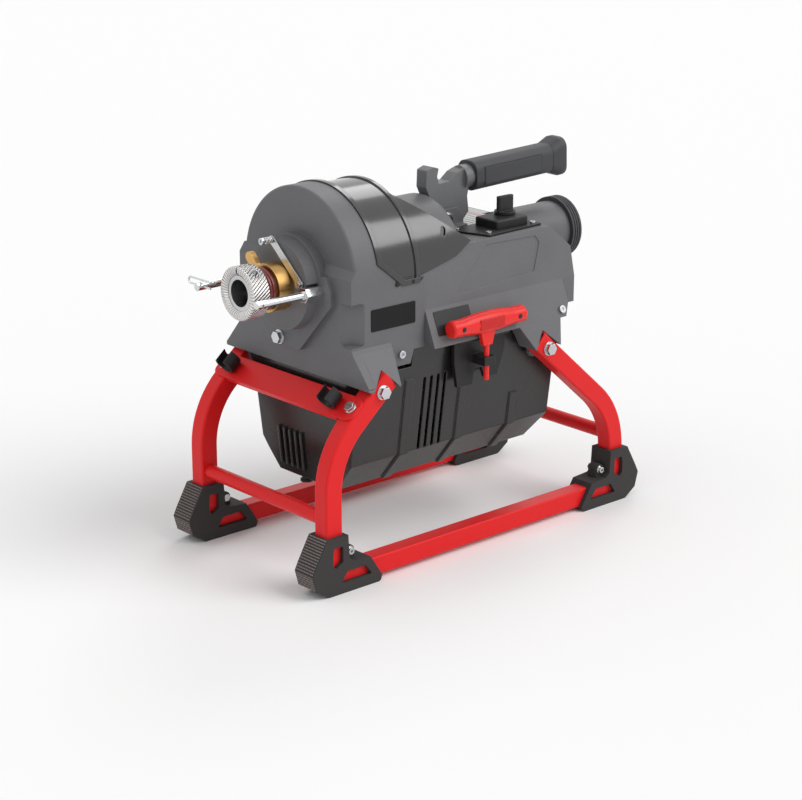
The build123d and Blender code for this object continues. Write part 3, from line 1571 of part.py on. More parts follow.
ear_outline = ((58, deck_z), (58, 446), (66, 453), (92, 453), (104, 440), (104, deck_z))
with BuildPart() as lever_bracket:
    for hand in (-1, 1):
        with BuildSketch(Plane.YZ.offset(hand * ear_inner)):
            with BuildLine():
                Polyline(*ear_outline, close=True)
            make_face()
            with Locations((pivot_y, pivot_z)):
                Circle(pivot_radius, mode=Mode.SUBTRACT)
        extrude(amount=hand * 7)
        with BuildSketch(Plane.XY.offset(deck_z)):
            with Locations((hand * (ear_outer + 4), 84)):
                RectangleRounded(12, 40, 3)
        extrude(amount=4)
    with BuildSketch(Plane.YZ):
        with Locations((58.5, deck_z + 10)):
            Rectangle(4, 20)
    extrude(amount=ear_outer, both=True)
save(lever_bracket, "lever_bracket")


# ======================================================================================
# Switch
# ======================================================================================
plate_screws = ((86, 88), (82, 178), (40, 178), (40, 70))
plate_corners = ((31, 58), (96, 80), (90, 187), (31, 187))
with BuildPart() as switch_plate:
    with BuildSketch(Plane.XY.offset(deck_z)):
        with BuildLine():
            Polyline(*plate_corners, close=True)
        make_face()
        with Locations(*plate_screws):
            Circle(2 + running_fit, mode=Mode.SUBTRACT)
    extrude(amount=switch_plate_thickness)
save(switch_plate, "switch_plate")

box_foot_z = deck_z + switch_plate_thickness
with BuildPart() as switch_box:
    with BuildSketch(Plane.XY.offset(box_foot_z)):
        with Locations((switch_x + 6, switch_y)):
            RectangleRounded(46, 62, 4)
    extrude(amount=switch_box_height)
    chamfer(switch_box.faces().sort_by(Axis.Z)[-1].edges(), 1.5)
save(switch_box, "switch_box")

knob_foot_z = box_foot_z + switch_box_height + seat_gap
with BuildPart() as switch_knob:
    with BuildSketch(Plane((switch_x, switch_y + 12, knob_foot_z))):
        Circle(knob_radius)
    extrude(amount=5)
    with BuildSketch(Plane((switch_x, switch_y + 12, knob_foot_z + 5))):
        SlotOverall(2 * knob_radius, 8, rotation=90)
    extrude(amount=knob_height - 17)
save(switch_knob, "switch_knob")

with BuildPart() as switch_screws:
    for screw_place in plate_screws:
        add(machine_screw(Plane((*screw_place, box_foot_z)), 4, 2.6, switch_plate_thickness))
save(switch_screws, "switch_screws")


# ======================================================================================
# Pin key and holder
# ======================================================================================
arm_low_z = 262.0
with BuildPart() as key_holder:
    with BuildSketch(Plane.YZ.offset(119)):
        with BuildLine():
            Polyline(
                (-12, 300),
                (-12, 268),
                (-6, 231),
                (22, 231),
                (26, 252),
                (40, 252),
                (46, 236),
                (70, 236),
                (83, 270),
                (83, 300),
                close=True,
            )
        make_face()
    extrude(amount=6)
    with BuildSketch(Plane.XY.offset(296)):
        with Locations((127, 35.5)):
            Rectangle(16, 95)
    extrude(amount=4)
    with BuildSketch(Plane.XY.offset(arm_low_z)):
        with Locations((136, key_y)):
            Rectangle(30, 20)
        with Locations((key_x, key_y)):
            Circle(key_stem_radius + running_fit, mode=Mode.SUBTRACT)
    extrude(amount=12)
save(key_holder, "key_holder")

with BuildPart() as pin_key:
    with BuildSketch(facing(key_y - key_length / 2)):
        with Locations((key_x, key_z)):
            Circle(key_radius)
    extrude(amount=-key_length)
    fillet(pin_key.edges().filter_by(GeomType.CIRCLE), 4)
    with BuildSketch(Plane.YZ.offset(key_x)):
        with Locations((key_y, key_z - 20)):
            Trapezoid(30, 26, 75, rotation=180)
    extrude(amount=3.5, both=True)
    with BuildSketch(Plane((key_x, key_y, key_z - 30))):
        Circle(key_stem_radius)
    extrude(amount=-(key_z - 30 - 240))
save(pin_key, "pin_key")
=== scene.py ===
"""Blender scene of a sectional drain cleaning machine: finishes, trim pieces, floor and light.

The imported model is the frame. Its own pieces keep their shape and get procedural finishes here,
and small trim pieces are modelled on top of them. Lengths are metres, +Z is up, -Y is the cable
outlet and +X the side with the pin key.
"""

import logging
import math
from dataclasses import dataclass
from enum import Enum

import bmesh
import bpy
from mathutils import Euler, Matrix, Vector


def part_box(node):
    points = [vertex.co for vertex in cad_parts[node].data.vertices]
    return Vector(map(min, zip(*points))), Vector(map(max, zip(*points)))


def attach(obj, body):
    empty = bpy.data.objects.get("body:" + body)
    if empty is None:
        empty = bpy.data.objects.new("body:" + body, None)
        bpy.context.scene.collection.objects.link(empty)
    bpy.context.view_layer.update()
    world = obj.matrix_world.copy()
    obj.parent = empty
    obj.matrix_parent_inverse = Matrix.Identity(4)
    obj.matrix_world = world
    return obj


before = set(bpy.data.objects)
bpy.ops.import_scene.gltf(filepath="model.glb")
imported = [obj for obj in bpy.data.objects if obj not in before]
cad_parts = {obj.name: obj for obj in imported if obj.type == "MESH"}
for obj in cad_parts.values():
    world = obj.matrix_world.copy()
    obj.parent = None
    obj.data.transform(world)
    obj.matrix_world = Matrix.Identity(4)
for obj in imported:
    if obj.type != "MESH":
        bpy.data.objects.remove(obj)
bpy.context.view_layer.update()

log = logging.getLogger("drain_machine")
MM = 0.001

SPINDLE_Z = 0.389  # height of the spindle's axis, in metres
DUST_COLOUR = (0.45, 0.43, 0.40)
COAT_ROUGHNESS = 0.12
ROUGHNESS_SPREAD = 0.15  # share that the roughness moves to either side
MIX_FIRST, MIX_SECOND, MIX_RESULT = 6, 7, 2  # colour sockets of a Mix node
BEVEL_STEPS = 3
SCREW_SIDES = 24


class Pattern(Enum):
    """Surface relief that a finish adds to its grain."""

    NONE = "none"
    CAST = "cast"
    KNURL = "knurl"
    TURNED = "turned"


class Body(Enum):
    """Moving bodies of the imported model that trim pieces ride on."""

    MACHINE = "machine"
    LEVER = "feed_lever"
    KEY = "retaining_key"
    SWITCH = "switch_selector"


# --------------------------------------------------------------------------------------
# Shared shader groups
# --------------------------------------------------------------------------------------
class Groups:
    """Shader node groups that several finishes share, each built once."""

    made: dict[str, bpy.types.NodeTree] = {}
    edge_samples: int = 6
    height_detail: float = 3.0
    tone_detail: float = 5.0
    dust_detail: float = 6.0
    cell_scale: float = 420.0
    cell_top: float = 0.7
    cell_smoothing: float = 0.3

    @classmethod
    def start(
        cls, name: str, inputs: dict[str, float], outputs: dict[str, str]
    ) -> tuple[bpy.types.NodeTree, bpy.types.Node, bpy.types.Node]:
        """Open a new group with float inputs and typed outputs.

        Args:
            name: The group's name.
            inputs: Input names with their default values.
            outputs: Output names with their socket types.

        Returns:
            The tree, its input node and its output node.
        """
        tree = bpy.data.node_groups.new(name, "ShaderNodeTree")
        for label, value in inputs.items():
            socket = tree.interface.new_socket(
                label, in_out="INPUT", socket_type="NodeSocketFloat"
            )
            socket.default_value = value
        for label, kind in outputs.items():
            tree.interface.new_socket(label, in_out="OUTPUT", socket_type=kind)
        source = tree.nodes.new("NodeGroupInput")
        sink = tree.nodes.new("NodeGroupOutput")
        cls.made[name] = tree
        return tree, source, sink

    @classmethod
    def math(cls, tree: bpy.types.NodeTree, operation: str, *values) -> bpy.types.NodeSocket:
        """Add a Math node whose inputs are sockets or numbers, and return its output."""
        node = tree.nodes.new("ShaderNodeMath")
        node.operation = operation
        for index, value in enumerate(values):
            if isinstance(value, (int, float)):
                node.inputs[index].default_value = value
            else:
                tree.links.new(value, node.inputs[index])
        return node.outputs[0]

    @classmethod
    def edges(cls) -> bpy.types.NodeTree:
        """Rounded edges: a softened normal, and a mask that is 1 on sharp outer edges."""
        if "rounded_edges" in cls.made:
            return cls.made["rounded_edges"]
        tree, source, sink = cls.start(
            "rounded_edges",
            {"Radius": 1.2 * MM, "Gain": 4.0},
            {"Normal": "NodeSocketVector", "Edge": "NodeSocketFloat"},
        )
        bevel = tree.nodes.new("ShaderNodeBevel")
        bevel.samples = cls.edge_samples
        geometry = tree.nodes.new("ShaderNodeNewGeometry")
        dot = tree.nodes.new("ShaderNodeVectorMath")
        dot.operation = "DOT_PRODUCT"
        tree.links.new(source.outputs["Radius"], bevel.inputs["Radius"])
        tree.links.new(bevel.outputs[0], dot.inputs[0])
        tree.links.new(geometry.outputs["Normal"], dot.inputs[1])
        bend = cls.math(tree, "SUBTRACT", 1.0, dot.outputs["Value"])
        mask = tree.nodes.new("ShaderNodeMath")
        mask.operation = "MULTIPLY"
        mask.use_clamp = True
        tree.links.new(bend, mask.inputs[0])
        tree.links.new(source.outputs["Gain"], mask.inputs[1])
        tree.links.new(bevel.outputs[0], sink.inputs["Normal"])
        tree.links.new(mask.outputs[0], sink.inputs["Edge"])
        return tree

    @classmethod
    def grain(cls) -> bpy.types.NodeTree:
        """Fine grain: a height for bumps and a slow tone for colour variation."""
        if "grain" in cls.made:
            return cls.made["grain"]
        tree, source, sink = cls.start(
            "grain",
            {"Scale": 600.0, "Tone Scale": 14.0},
            {"Height": "NodeSocketFloat", "Tone": "NodeSocketFloat"},
        )
        place = tree.nodes.new("ShaderNodeTexCoord")
        rows = (
            ("Height", "Scale", cls.height_detail),
            ("Tone", "Tone Scale", cls.tone_detail),
        )
        for label, size, detail in rows:
            noise = tree.nodes.new("ShaderNodeTexNoise")
            noise.inputs["Detail"].default_value = detail
            tree.links.new(place.outputs["Object"], noise.inputs["Vector"])
            tree.links.new(source.outputs[size], noise.inputs["Scale"])
            tree.links.new(noise.outputs["Fac"], sink.inputs[label])
        return tree

    @classmethod
    def dust(cls) -> bpy.types.NodeTree:
        """Dust mask: most on faces that look up, broken by a slow noise."""
        if "dust" in cls.made:
            return cls.made["dust"]
        tree, source, sink = cls.start(
            "dust", {"Amount": 0.2, "Scale": 25.0}, {"Mask": "NodeSocketFloat"}
        )
        place = tree.nodes.new("ShaderNodeTexCoord")
        noise = tree.nodes.new("ShaderNodeTexNoise")
        noise.inputs["Detail"].default_value = cls.dust_detail
        tree.links.new(place.outputs["Object"], noise.inputs["Vector"])
        tree.links.new(source.outputs["Scale"], noise.inputs["Scale"])
        geometry = tree.nodes.new("ShaderNodeNewGeometry")
        split = tree.nodes.new("ShaderNodeSeparateXYZ")
        tree.links.new(geometry.outputs["Normal"], split.inputs[0])
        upward = cls.math(tree, "MAXIMUM", split.outputs["Z"], 0.0)
        broken = cls.math(tree, "MULTIPLY", upward, noise.outputs["Fac"])
        mask = cls.math(tree, "MULTIPLY", broken, source.outputs["Amount"])
        tree.links.new(mask, sink.inputs["Mask"])
        return tree

    @classmethod
    def relief(cls, pattern: Pattern) -> bpy.types.NodeTree:
        """Relief pattern of a finish, as a height.

        Args:
            pattern: Which relief to build: cast cells, a knurl or turned rings.

        Returns:
            The group, whose output is Height.
        """
        name = f"relief_{pattern.value}"
        if name in cls.made:
            return cls.made[name]
        tree, source, sink = cls.start(
            name,
            {"Pitch": 1.6 * MM, "Axis Z": SPINDLE_Z, "Count": 60.0},
            {"Height": "NodeSocketFloat"},
        )
        place = tree.nodes.new("ShaderNodeTexCoord")
        split = tree.nodes.new("ShaderNodeSeparateXYZ")
        tree.links.new(place.outputs["Object"], split.inputs[0])
        x, y, z = split.outputs
        turn = cls.math(tree, "DIVIDE", math.tau, source.outputs["Pitch"])
        if pattern is Pattern.CAST:
            cells = tree.nodes.new("ShaderNodeTexVoronoi")
            cells.inputs["Scale"].default_value = cls.cell_scale
            tree.links.new(place.outputs["Object"], cells.inputs["Vector"])
            height = cls.math(
                tree, "SMOOTH_MIN", cells.outputs["Distance"], cls.cell_top, cls.cell_smoothing
            )
        elif pattern is Pattern.KNURL:
            lifted = cls.math(tree, "SUBTRACT", z, source.outputs["Axis Z"])
            angle = cls.math(tree, "ARCTAN2", x, lifted)
            around = cls.math(tree, "MULTIPLY", angle, source.outputs["Count"])
            along = cls.math(tree, "MULTIPLY", y, turn)
            height = cls.math(tree, "SINE", cls.math(tree, "ADD", around, along))
        else:
            height = cls.math(tree, "SINE", cls.math(tree, "MULTIPLY", y, turn))
        tree.links.new(height, sink.inputs["Height"])
        return tree


# --------------------------------------------------------------------------------------
# Finishes
# --------------------------------------------------------------------------------------
@dataclass(frozen=True)
class Finish:
    """One surface finish, and the procedural material made from it."""

    name: str
    colour: tuple[float, float, float]
    edge_colour: tuple[float, float, float]
    roughness: float
    metallic: float = 0.0
    coat: float = 0.0
    specular: float = 0.5
    grain_scale: float = 700.0
    grain_height: float = 0.05 * MM
    tone_shift: float = 0.12
    edge_wear: float = 0.35
    rounding: float = 1.0 * MM
    dust: float = 0.10
    pattern: Pattern = Pattern.NONE
    relief_height: float = 0.1 * MM
    pitch: float = 2.0 * MM
    count: float = 60.0

    def place(
        self, tree: bpy.types.NodeTree, group: bpy.types.NodeTree, **values: float
    ) -> bpy.types.Node:
        """Place a shared group in the material with this finish's own values."""
        node = tree.nodes.new("ShaderNodeGroup")
        node.node_tree = group
        for label, value in values.items():
            node.inputs[label.replace("_", " ")].default_value = value
        return node

    def mix(self, tree: bpy.types.NodeTree, factor, first, second) -> bpy.types.NodeSocket:
        """Mix two colours, each a socket or a plain colour, by a factor socket."""
        node = tree.nodes.new("ShaderNodeMix")
        node.data_type = "RGBA"
        tree.links.new(factor, node.inputs["Factor"])
        for socket, value in ((MIX_FIRST, first), (MIX_SECOND, second)):
            if isinstance(value, tuple):
                node.inputs[socket].default_value = (*value, 1.0)
            else:
                tree.links.new(value, node.inputs[socket])
        return node.outputs[MIX_RESULT]

    def material(self) -> bpy.types.Material:
        """Build the material.

        Returns:
            A material whose colour, roughness and normal come from procedural nodes.
        """
        made = bpy.data.materials.get(self.name)
        if made:
            return made
        made = bpy.data.materials.new(self.name)
        made.use_nodes = True
        tree = made.node_tree
        shader = tree.nodes["Principled BSDF"]
        shader.inputs["Metallic"].default_value = self.metallic
        shader.inputs["Coat Weight"].default_value = self.coat
        shader.inputs["Specular IOR Level"].default_value = self.specular
        shader.inputs["Coat Roughness"].default_value = COAT_ROUGHNESS
        edges = self.place(tree, Groups.edges(), Radius=self.rounding)
        grain = self.place(tree, Groups.grain(), Scale=self.grain_scale)
        dust = self.place(tree, Groups.dust(), Amount=self.dust)
        darker = tuple(channel * (1.0 - self.tone_shift) for channel in self.colour)
        lighter = tuple(min(1.0, channel * (1.0 + self.tone_shift)) for channel in self.colour)
        base = self.mix(tree, grain.outputs["Tone"], darker, lighter)
        wear = Groups.math(tree, "MULTIPLY", edges.outputs["Edge"], self.edge_wear)
        worn = self.mix(tree, wear, base, self.edge_colour)
        dusty = self.mix(tree, dust.outputs["Mask"], worn, DUST_COLOUR)
        tree.links.new(dusty, shader.inputs["Base Color"])
        rough = tree.nodes.new("ShaderNodeMapRange")
        rough.inputs["To Min"].default_value = self.roughness * (1.0 - ROUGHNESS_SPREAD)
        roughest = self.roughness * (1.0 + ROUGHNESS_SPREAD)
        rough.inputs["To Max"].default_value = min(1.0, roughest)
        tree.links.new(grain.outputs["Tone"], rough.inputs["Value"])
        tree.links.new(rough.outputs[0], shader.inputs["Roughness"])
        bump = tree.nodes.new("ShaderNodeBump")
        bump.inputs["Distance"].default_value = self.grain_height
        tree.links.new(grain.outputs["Height"], bump.inputs["Height"])
        tree.links.new(edges.outputs["Normal"], bump.inputs["Normal"])
        last = bump
        if self.pattern is not Pattern.NONE:
            relief = self.place(
                tree, Groups.relief(self.pattern), Pitch=self.pitch, Count=self.count
            )
            last = tree.nodes.new("ShaderNodeBump")
            last.inputs["Distance"].default_value = self.relief_height
            tree.links.new(relief.outputs["Height"], last.inputs["Height"])
            tree.links.new(bump.outputs[0], last.inputs["Normal"])
        tree.links.new(last.outputs[0], shader.inputs["Normal"])
        return made


CASTING = Finish(
    "cast_grey_paint", (0.125, 0.125, 0.132), (0.26, 0.26, 0.27), 0.45, specular=0.35,
    grain_scale=900.0, grain_height=0.14 * MM, tone_shift=0.16, pattern=Pattern.CAST,
    relief_height=0.22 * MM, rounding=1.6 * MM, edge_wear=0.3, dust=0.04,
)
DARK_CASTING = Finish(
    "cast_grey_dark", (0.145, 0.147, 0.152), (0.30, 0.30, 0.31), 0.40, specular=0.4,
    grain_scale=800.0, grain_height=0.12 * MM, tone_shift=0.15, pattern=Pattern.CAST,
    relief_height=0.18 * MM, rounding=1.8 * MM, edge_wear=0.4, dust=0.04,
)
RED_PAINT = Finish(
    "red_powder_coat", (0.74, 0.012, 0.014), (0.95, 0.09, 0.07), 0.38, specular=0.22,
    grain_scale=900.0, grain_height=0.06 * MM, tone_shift=0.05, rounding=1.8 * MM,
    edge_wear=0.35, dust=0.015,
)
GLOSS_BLACK = Finish(
    "gloss_black_cover", (0.010, 0.010, 0.011), (0.10, 0.10, 0.10), 0.16, coat=0.5,
    specular=0.6, grain_scale=220.0, grain_height=0.01 * MM, rounding=1.5 * MM, dust=0.02,
)
LABEL_BLACK = Finish(
    "black_plate", (0.006, 0.006, 0.006), (0.05, 0.05, 0.05), 0.30, specular=0.2,
    grain_scale=300.0, grain_height=0.01 * MM, rounding=0.3 * MM, dust=0.0,
)
MATTE_BLACK = Finish(
    "matte_black_moulding", (0.014, 0.014, 0.015), (0.07, 0.07, 0.07), 0.42, specular=0.30,
    grain_scale=1100.0, grain_height=0.05 * MM, rounding=1.5 * MM, dust=0.02,
)
SATIN_BLACK = Finish(
    "satin_black_shroud", (0.016, 0.015, 0.015), (0.10, 0.10, 0.10), 0.27, specular=0.50,
    grain_scale=700.0, grain_height=0.03 * MM, rounding=3.0 * MM, dust=0.02,
)
SHOE_RUBBER = Finish(
    "shoe_rubber", (0.026, 0.020, 0.019), (0.09, 0.08, 0.075), 0.68, specular=0.30,
    grain_scale=800.0, grain_height=0.12 * MM, rounding=1.2 * MM, dust=0.05,
)
TREAD_RUBBER = Finish(
    "tread_rubber", (0.20, 0.165, 0.155), (0.40, 0.36, 0.34), 0.70, specular=0.30,
    grain_scale=900.0, grain_height=0.10 * MM, rounding=0.5 * MM, dust=0.05,
)
GRIP_RUBBER = Finish(
    "grip_rubber", (0.046, 0.047, 0.052), (0.13, 0.13, 0.14), 0.55, specular=0.35,
    grain_scale=1300.0, grain_height=0.10 * MM, rounding=2.0 * MM, dust=0.03,
)
ZINC = Finish(
    "zinc_plate", (0.55, 0.56, 0.58), (0.90, 0.90, 0.91), 0.24, metallic=1.0,
    grain_scale=500.0, grain_height=0.03 * MM, tone_shift=0.35, rounding=0.8 * MM, dust=0.0,
)
CHROME = Finish(
    "bright_chrome", (0.66, 0.67, 0.68), (0.95, 0.95, 0.95), 0.14, metallic=1.0,
    grain_scale=200.0, grain_height=0.01 * MM, rounding=0.8 * MM, dust=0.0,
    tone_shift=0.20,
)
MACHINED = Finish(
    "turned_steel", (0.52, 0.52, 0.52), (0.90, 0.90, 0.90), 0.26, metallic=1.0,
    pattern=Pattern.TURNED, relief_height=0.03 * MM, pitch=0.8 * MM, rounding=0.8 * MM,
    dust=0.0, tone_shift=0.2,
)
KNURLED = Finish(
    "knurled_steel", (0.60, 0.58, 0.57), (0.95, 0.95, 0.95), 0.24, metallic=1.0,
    pattern=Pattern.KNURL, relief_height=0.5 * MM, pitch=7.0 * MM, count=48.0,
    rounding=1.2 * MM, dust=0.0, tone_shift=0.2,
)
BRASS = Finish(
    "machined_brass", (0.62, 0.37, 0.13), (0.92, 0.72, 0.42), 0.30, metallic=1.0,
    pattern=Pattern.TURNED, relief_height=0.03 * MM, pitch=0.9 * MM, rounding=0.8 * MM,
    dust=0.0, tone_shift=0.2,
)
MAROON = Finish(
    "maroon_rings", (0.17, 0.010, 0.012), (0.45, 0.10, 0.10), 0.22, coat=0.5,
    rounding=0.6 * MM, dust=0.0,
)
DARK_STEEL = Finish(
    "dark_grey_metal", (0.16, 0.16, 0.17), (0.42, 0.42, 0.43), 0.36, metallic=0.55,
    grain_scale=650.0, grain_height=0.06 * MM, rounding=1.2 * MM, dust=0.03,
)
RED_PLASTIC = Finish(
    "red_key_plastic", (0.80, 0.020, 0.016), (0.95, 0.15, 0.10), 0.30, specular=0.30,
    grain_scale=600.0, grain_height=0.03 * MM, rounding=1.5 * MM, dust=0.0,
)
RED_FACE = Finish(
    "red_key_face", (0.55, 0.012, 0.010), (0.95, 0.15, 0.10), 0.36, specular=0.30,
    grain_scale=600.0, grain_height=0.03 * MM, rounding=1.0 * MM, dust=0.0,
)
LABEL = Finish(
    "pale_label", (0.66, 0.66, 0.66), (0.74, 0.74, 0.74), 0.45, grain_scale=300.0,
    grain_height=0.01 * MM, rounding=0.3 * MM, dust=0.02,
)
ORANGE = Finish(
    "orange_band", (0.75, 0.22, 0.08), (0.80, 0.30, 0.15), 0.45, grain_scale=300.0,
    grain_height=0.01 * MM, rounding=0.3 * MM, dust=0.0,
)
# Near-black finish for print, and also for the painted shade of the grip's grooves.
PRINT_AND_SHADE = Finish(
    "print_and_painted_shade", (0.022, 0.022, 0.024), (0.10, 0.10, 0.10), 0.35, specular=0.3,
    grain_scale=300.0, grain_height=0.01 * MM, rounding=0.3 * MM, dust=0.0,
)


@dataclass(frozen=True)
class Wardrobe:
    """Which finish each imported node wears."""

    castings: tuple[str, ...] = ("front_housing", "rear_housing", "clutch_dome", "lever_bracket")
    stand: tuple[str, ...] = (
        "front_leg_left", "front_leg_right", "rear_leg_left", "rear_leg_right",
        "side_rail_left", "side_rail_right", "cross_tubes", "front_crossbar",
    )
    shoes: tuple[str, ...] = (
        "front_shoe_left", "front_shoe_right", "rear_shoe_left", "rear_shoe_right",
    )
    zinc: tuple[str, ...] = (
        "flange_bolts", "crossbar_bolts", "shoe_screws", "housing_screws", "link_screws",
        "link_arm", "collar_screw", "switch_screws", "pivot_pin",
    )
    machined: tuple[str, ...] = (
        "spindle_tube", "clutch_jaws", "thrust_sleeve", "front_bearing", "rear_bearing",
        "motor_shaft", "motor_pulley", "spindle_pulley",
    )
    matte: tuple[str, ...] = (
        "guide_funnel", "switch_plate", "switch_box", "key_holder", "cord_gland",
        "motor_fan", "spring_clips", "drive_belt", "switch_knob",
    )

    def plan(self) -> dict[str, Finish]:
        """Finish of every node by name."""
        rows = (
            (self.castings, CASTING),
            (self.stand, RED_PAINT),
            (self.shoes, SHOE_RUBBER),
            (self.zinc, ZINC),
            (self.machined, MACHINED),
            (self.matte, MATTE_BLACK),
            (("belt_cover",), GLOSS_BLACK),
            (("name_plate",), LABEL_BLACK),
            (("lower_shroud",), SATIN_BLACK),
            (("rating_plate",), PRINT_AND_SHADE),
            (("lever_grip", "tail_ring"), GRIP_RUBBER),
            (("guide_pins", "hitch_clip", "link_spring"), CHROME),
            (("nose_collar",), KNURLED),
            (("brass_bush",), BRASS),
            (("spindle_rings",), MAROON),
            (("guide_tube",), CASTING),
            (("lever",), DARK_CASTING),
            (("motor_body", "motor_mount"), DARK_STEEL),
            (("pin_key",), RED_PLASTIC),
        )
        return {node: finish for nodes, finish in rows for node in nodes}

    def dress(self) -> None:
        """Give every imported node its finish, and stop if one was left out."""
        plan = self.plan()
        for node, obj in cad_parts.items():
            finish = plan[node]
            obj.data.materials.clear()
            obj.data.materials.append(finish.material())
        log.info("dressed %d nodes", len(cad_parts))


# --------------------------------------------------------------------------------------
# Mesh helpers
# --------------------------------------------------------------------------------------
class Piece:
    """A trim piece under construction as a bmesh."""

    def __init__(self, name: str, finish: Finish, body: Body, slot: str) -> None:
        """Start an empty piece.

        Args:
            name: Object name.
            finish: Its finish.
            body: Body that it rides on.
            slot: Material slot of the record; kept on the piece but not used.
        """
        self.name = name
        self.finish = finish
        self.body = body
        self.slot = slot
        self.mesh = bmesh.new()

    def bevel(self, edges: list[bmesh.types.BMEdge], width: float) -> set[bmesh.types.BMVert]:
        """Bevel edges, and return the vertices of the faces that this makes."""
        result = bmesh.ops.bevel(
            self.mesh, geom=edges, offset=width, offset_type="OFFSET", segments=BEVEL_STEPS,
            profile=0.5, affect="EDGES", material=-1,
        )
        return {vert for face in result["faces"] for vert in face.verts}

    def block(
        self, centre: Vector, size: Vector, turn: Euler | None = None, round_by: float = 0.0
    ) -> None:
        """Add a box with bevelled edges.

        Args:
            centre: Middle of the box.
            size: Its three lengths.
            turn: Its rotation, if any.
            round_by: Bevel width of its edges.
        """
        part = bmesh.ops.create_cube(self.mesh, size=1.0)
        verts = part["verts"]
        bmesh.ops.scale(self.mesh, vec=size, verts=verts)
        if round_by:
            edges = list({edge for vert in verts for edge in vert.link_edges})
            verts = list(self.bevel(edges, round_by))
        if turn:
            bmesh.ops.rotate(self.mesh, cent=(0, 0, 0), matrix=turn.to_matrix(), verts=verts)
        bmesh.ops.translate(self.mesh, vec=centre, verts=verts)

    def disc(
        self, centre: Vector, radius: float, depth: float, axis: Vector, sides: int = 40,
        round_by: float = 0.0,
    ) -> None:
        """Add a short cylinder with bevelled rims.

        Args:
            centre: Middle of the cylinder.
            radius: Its radius.
            depth: Its length along the axis.
            axis: Direction of its axis.
            sides: How many flats make its round face.
            round_by: Bevel width of its rims.
        """
        part = bmesh.ops.create_cone(
            self.mesh, cap_ends=True, segments=sides, radius1=radius, radius2=radius,
            depth=depth,
        )
        verts = part["verts"]
        if round_by:
            rims = [
                edge
                for edge in {edge for vert in verts for edge in vert.link_edges}
                if any(len(face.verts) > 4 for face in edge.link_faces)
            ]
            made = self.bevel(rims, round_by)
            verts = list(made | {vert for vert in verts if vert.is_valid})
        rotation = Vector((0, 0, 1)).rotation_difference(axis).to_matrix()
        bmesh.ops.rotate(self.mesh, cent=(0, 0, 0), matrix=rotation, verts=verts)
        bmesh.ops.translate(self.mesh, vec=centre, verts=verts)

    def done(self) -> bpy.types.Object:
        """Write the mesh to an object that rides on its body.

        Returns:
            The finished object, at the origin.
        """
        bmesh.ops.recalc_face_normals(self.mesh, faces=self.mesh.faces)
        data = bpy.data.meshes.new(self.name)
        self.mesh.to_mesh(data)
        self.mesh.free()
        obj = bpy.data.objects.new(self.name, data)
        bpy.context.scene.collection.objects.link(obj)
        data.materials.append(self.finish.material())
        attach(obj, self.body.value)
        log.info("piece %s on %s", self.name, self.body.value)
        return obj


# --------------------------------------------------------------------------------------
# Sub-assemblies
# --------------------------------------------------------------------------------------
@dataclass
class ShoeTreads:
    """Rows of small staggered rubber bars on the slanting toe of each shoe."""

    bar_width: float = 2.3 * MM
    bar_proud: float = 0.8 * MM
    pitch: float = 3.9 * MM
    columns: int = 5
    toe: float = 29.0 * MM
    shoulder: float = 23.0 * MM
    low_z: float = 14.0 * MM
    tip_z: float = 36.0 * MM
    high_z: float = 48.0 * MM
    top_z: float = 81.0 * MM
    top_back: float = 4.0 * MM
    gap: float = 0.9 * MM
    side_margin: float = 1.5 * MM
    sunk_share: float = 0.25
    clearance: float = 0.25 * MM
    rounding: float = 0.3 * MM

    def runs(self) -> tuple[tuple[tuple[float, float], tuple[float, float]], ...]:
        """Straight runs of the toe's outline as (offset, height) pairs, upwards."""
        return (
            ((-self.shoulder, self.low_z), (-self.toe, self.tip_z)),
            ((-self.toe, self.tip_z), (-self.shoulder, self.high_z)),
            ((-self.shoulder, self.high_z), (-self.top_back, self.top_z)),
        )

    def rows(self) -> list[tuple[float, float, float]]:
        """Offset from the leg, height and slope of each row of bars, upwards."""
        found = []
        for (y0, z0), (y1, z1) in self.runs():
            length = math.hypot(y1 - y0, z1 - z0)
            slope = math.atan2(z1 - z0, y1 - y0)
            count = int((length - 1.5 * self.pitch) // self.pitch) + 2
            first = (length - (count - 1) * self.pitch) / 2
            for index in range(count):
                share = (first + index * self.pitch) / length
                found.append((y0 + share * (y1 - y0), z0 + share * (z1 - z0), slope))
        return found

    def build(self) -> None:
        """Build one tread for each shoe."""
        for end, outward in (("front", -1.0), ("rear", 1.0)):
            for side in ("left", "right"):
                low, high = (Vector(corner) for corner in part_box(f"{end}_shoe_{side}"))
                face_y = low.y + self.toe if outward < 0 else high.y - self.toe
                width = (high.x - low.x - 2 * self.side_margin) / self.columns
                piece = Piece(
                    f"shoe_tread_{end}_{side}", TREAD_RUBBER, Body.MACHINE, "shoe_rubber"
                )
                for row, (offset, height, slope) in enumerate(self.rows()):
                    lean = outward * (slope - math.pi / 2)
                    shift = (row % 2) * width / 2
                    inward = self.bar_proud * self.sunk_share
                    for column in range(self.columns + row % 2):
                        start = low.x + self.side_margin + column * width - shift
                        stop = min(start + width, high.x - self.side_margin)
                        start = max(start, low.x + self.side_margin)
                        out_y = face_y - outward * (offset + inward)
                        reach = low.y if outward < 0 else high.y
                        room = abs(reach - out_y) - self.bar_proud - self.clearance
                        out_y += outward * min(0.0, room)
                        centre = Vector(((start + stop) / 2, out_y, height))
                        size = Vector(
                            (stop - start - self.gap, 2 * self.bar_proud, self.bar_width)
                        )
                        piece.block(centre, size, Euler((lean, 0, 0)), self.rounding)
                piece.done()


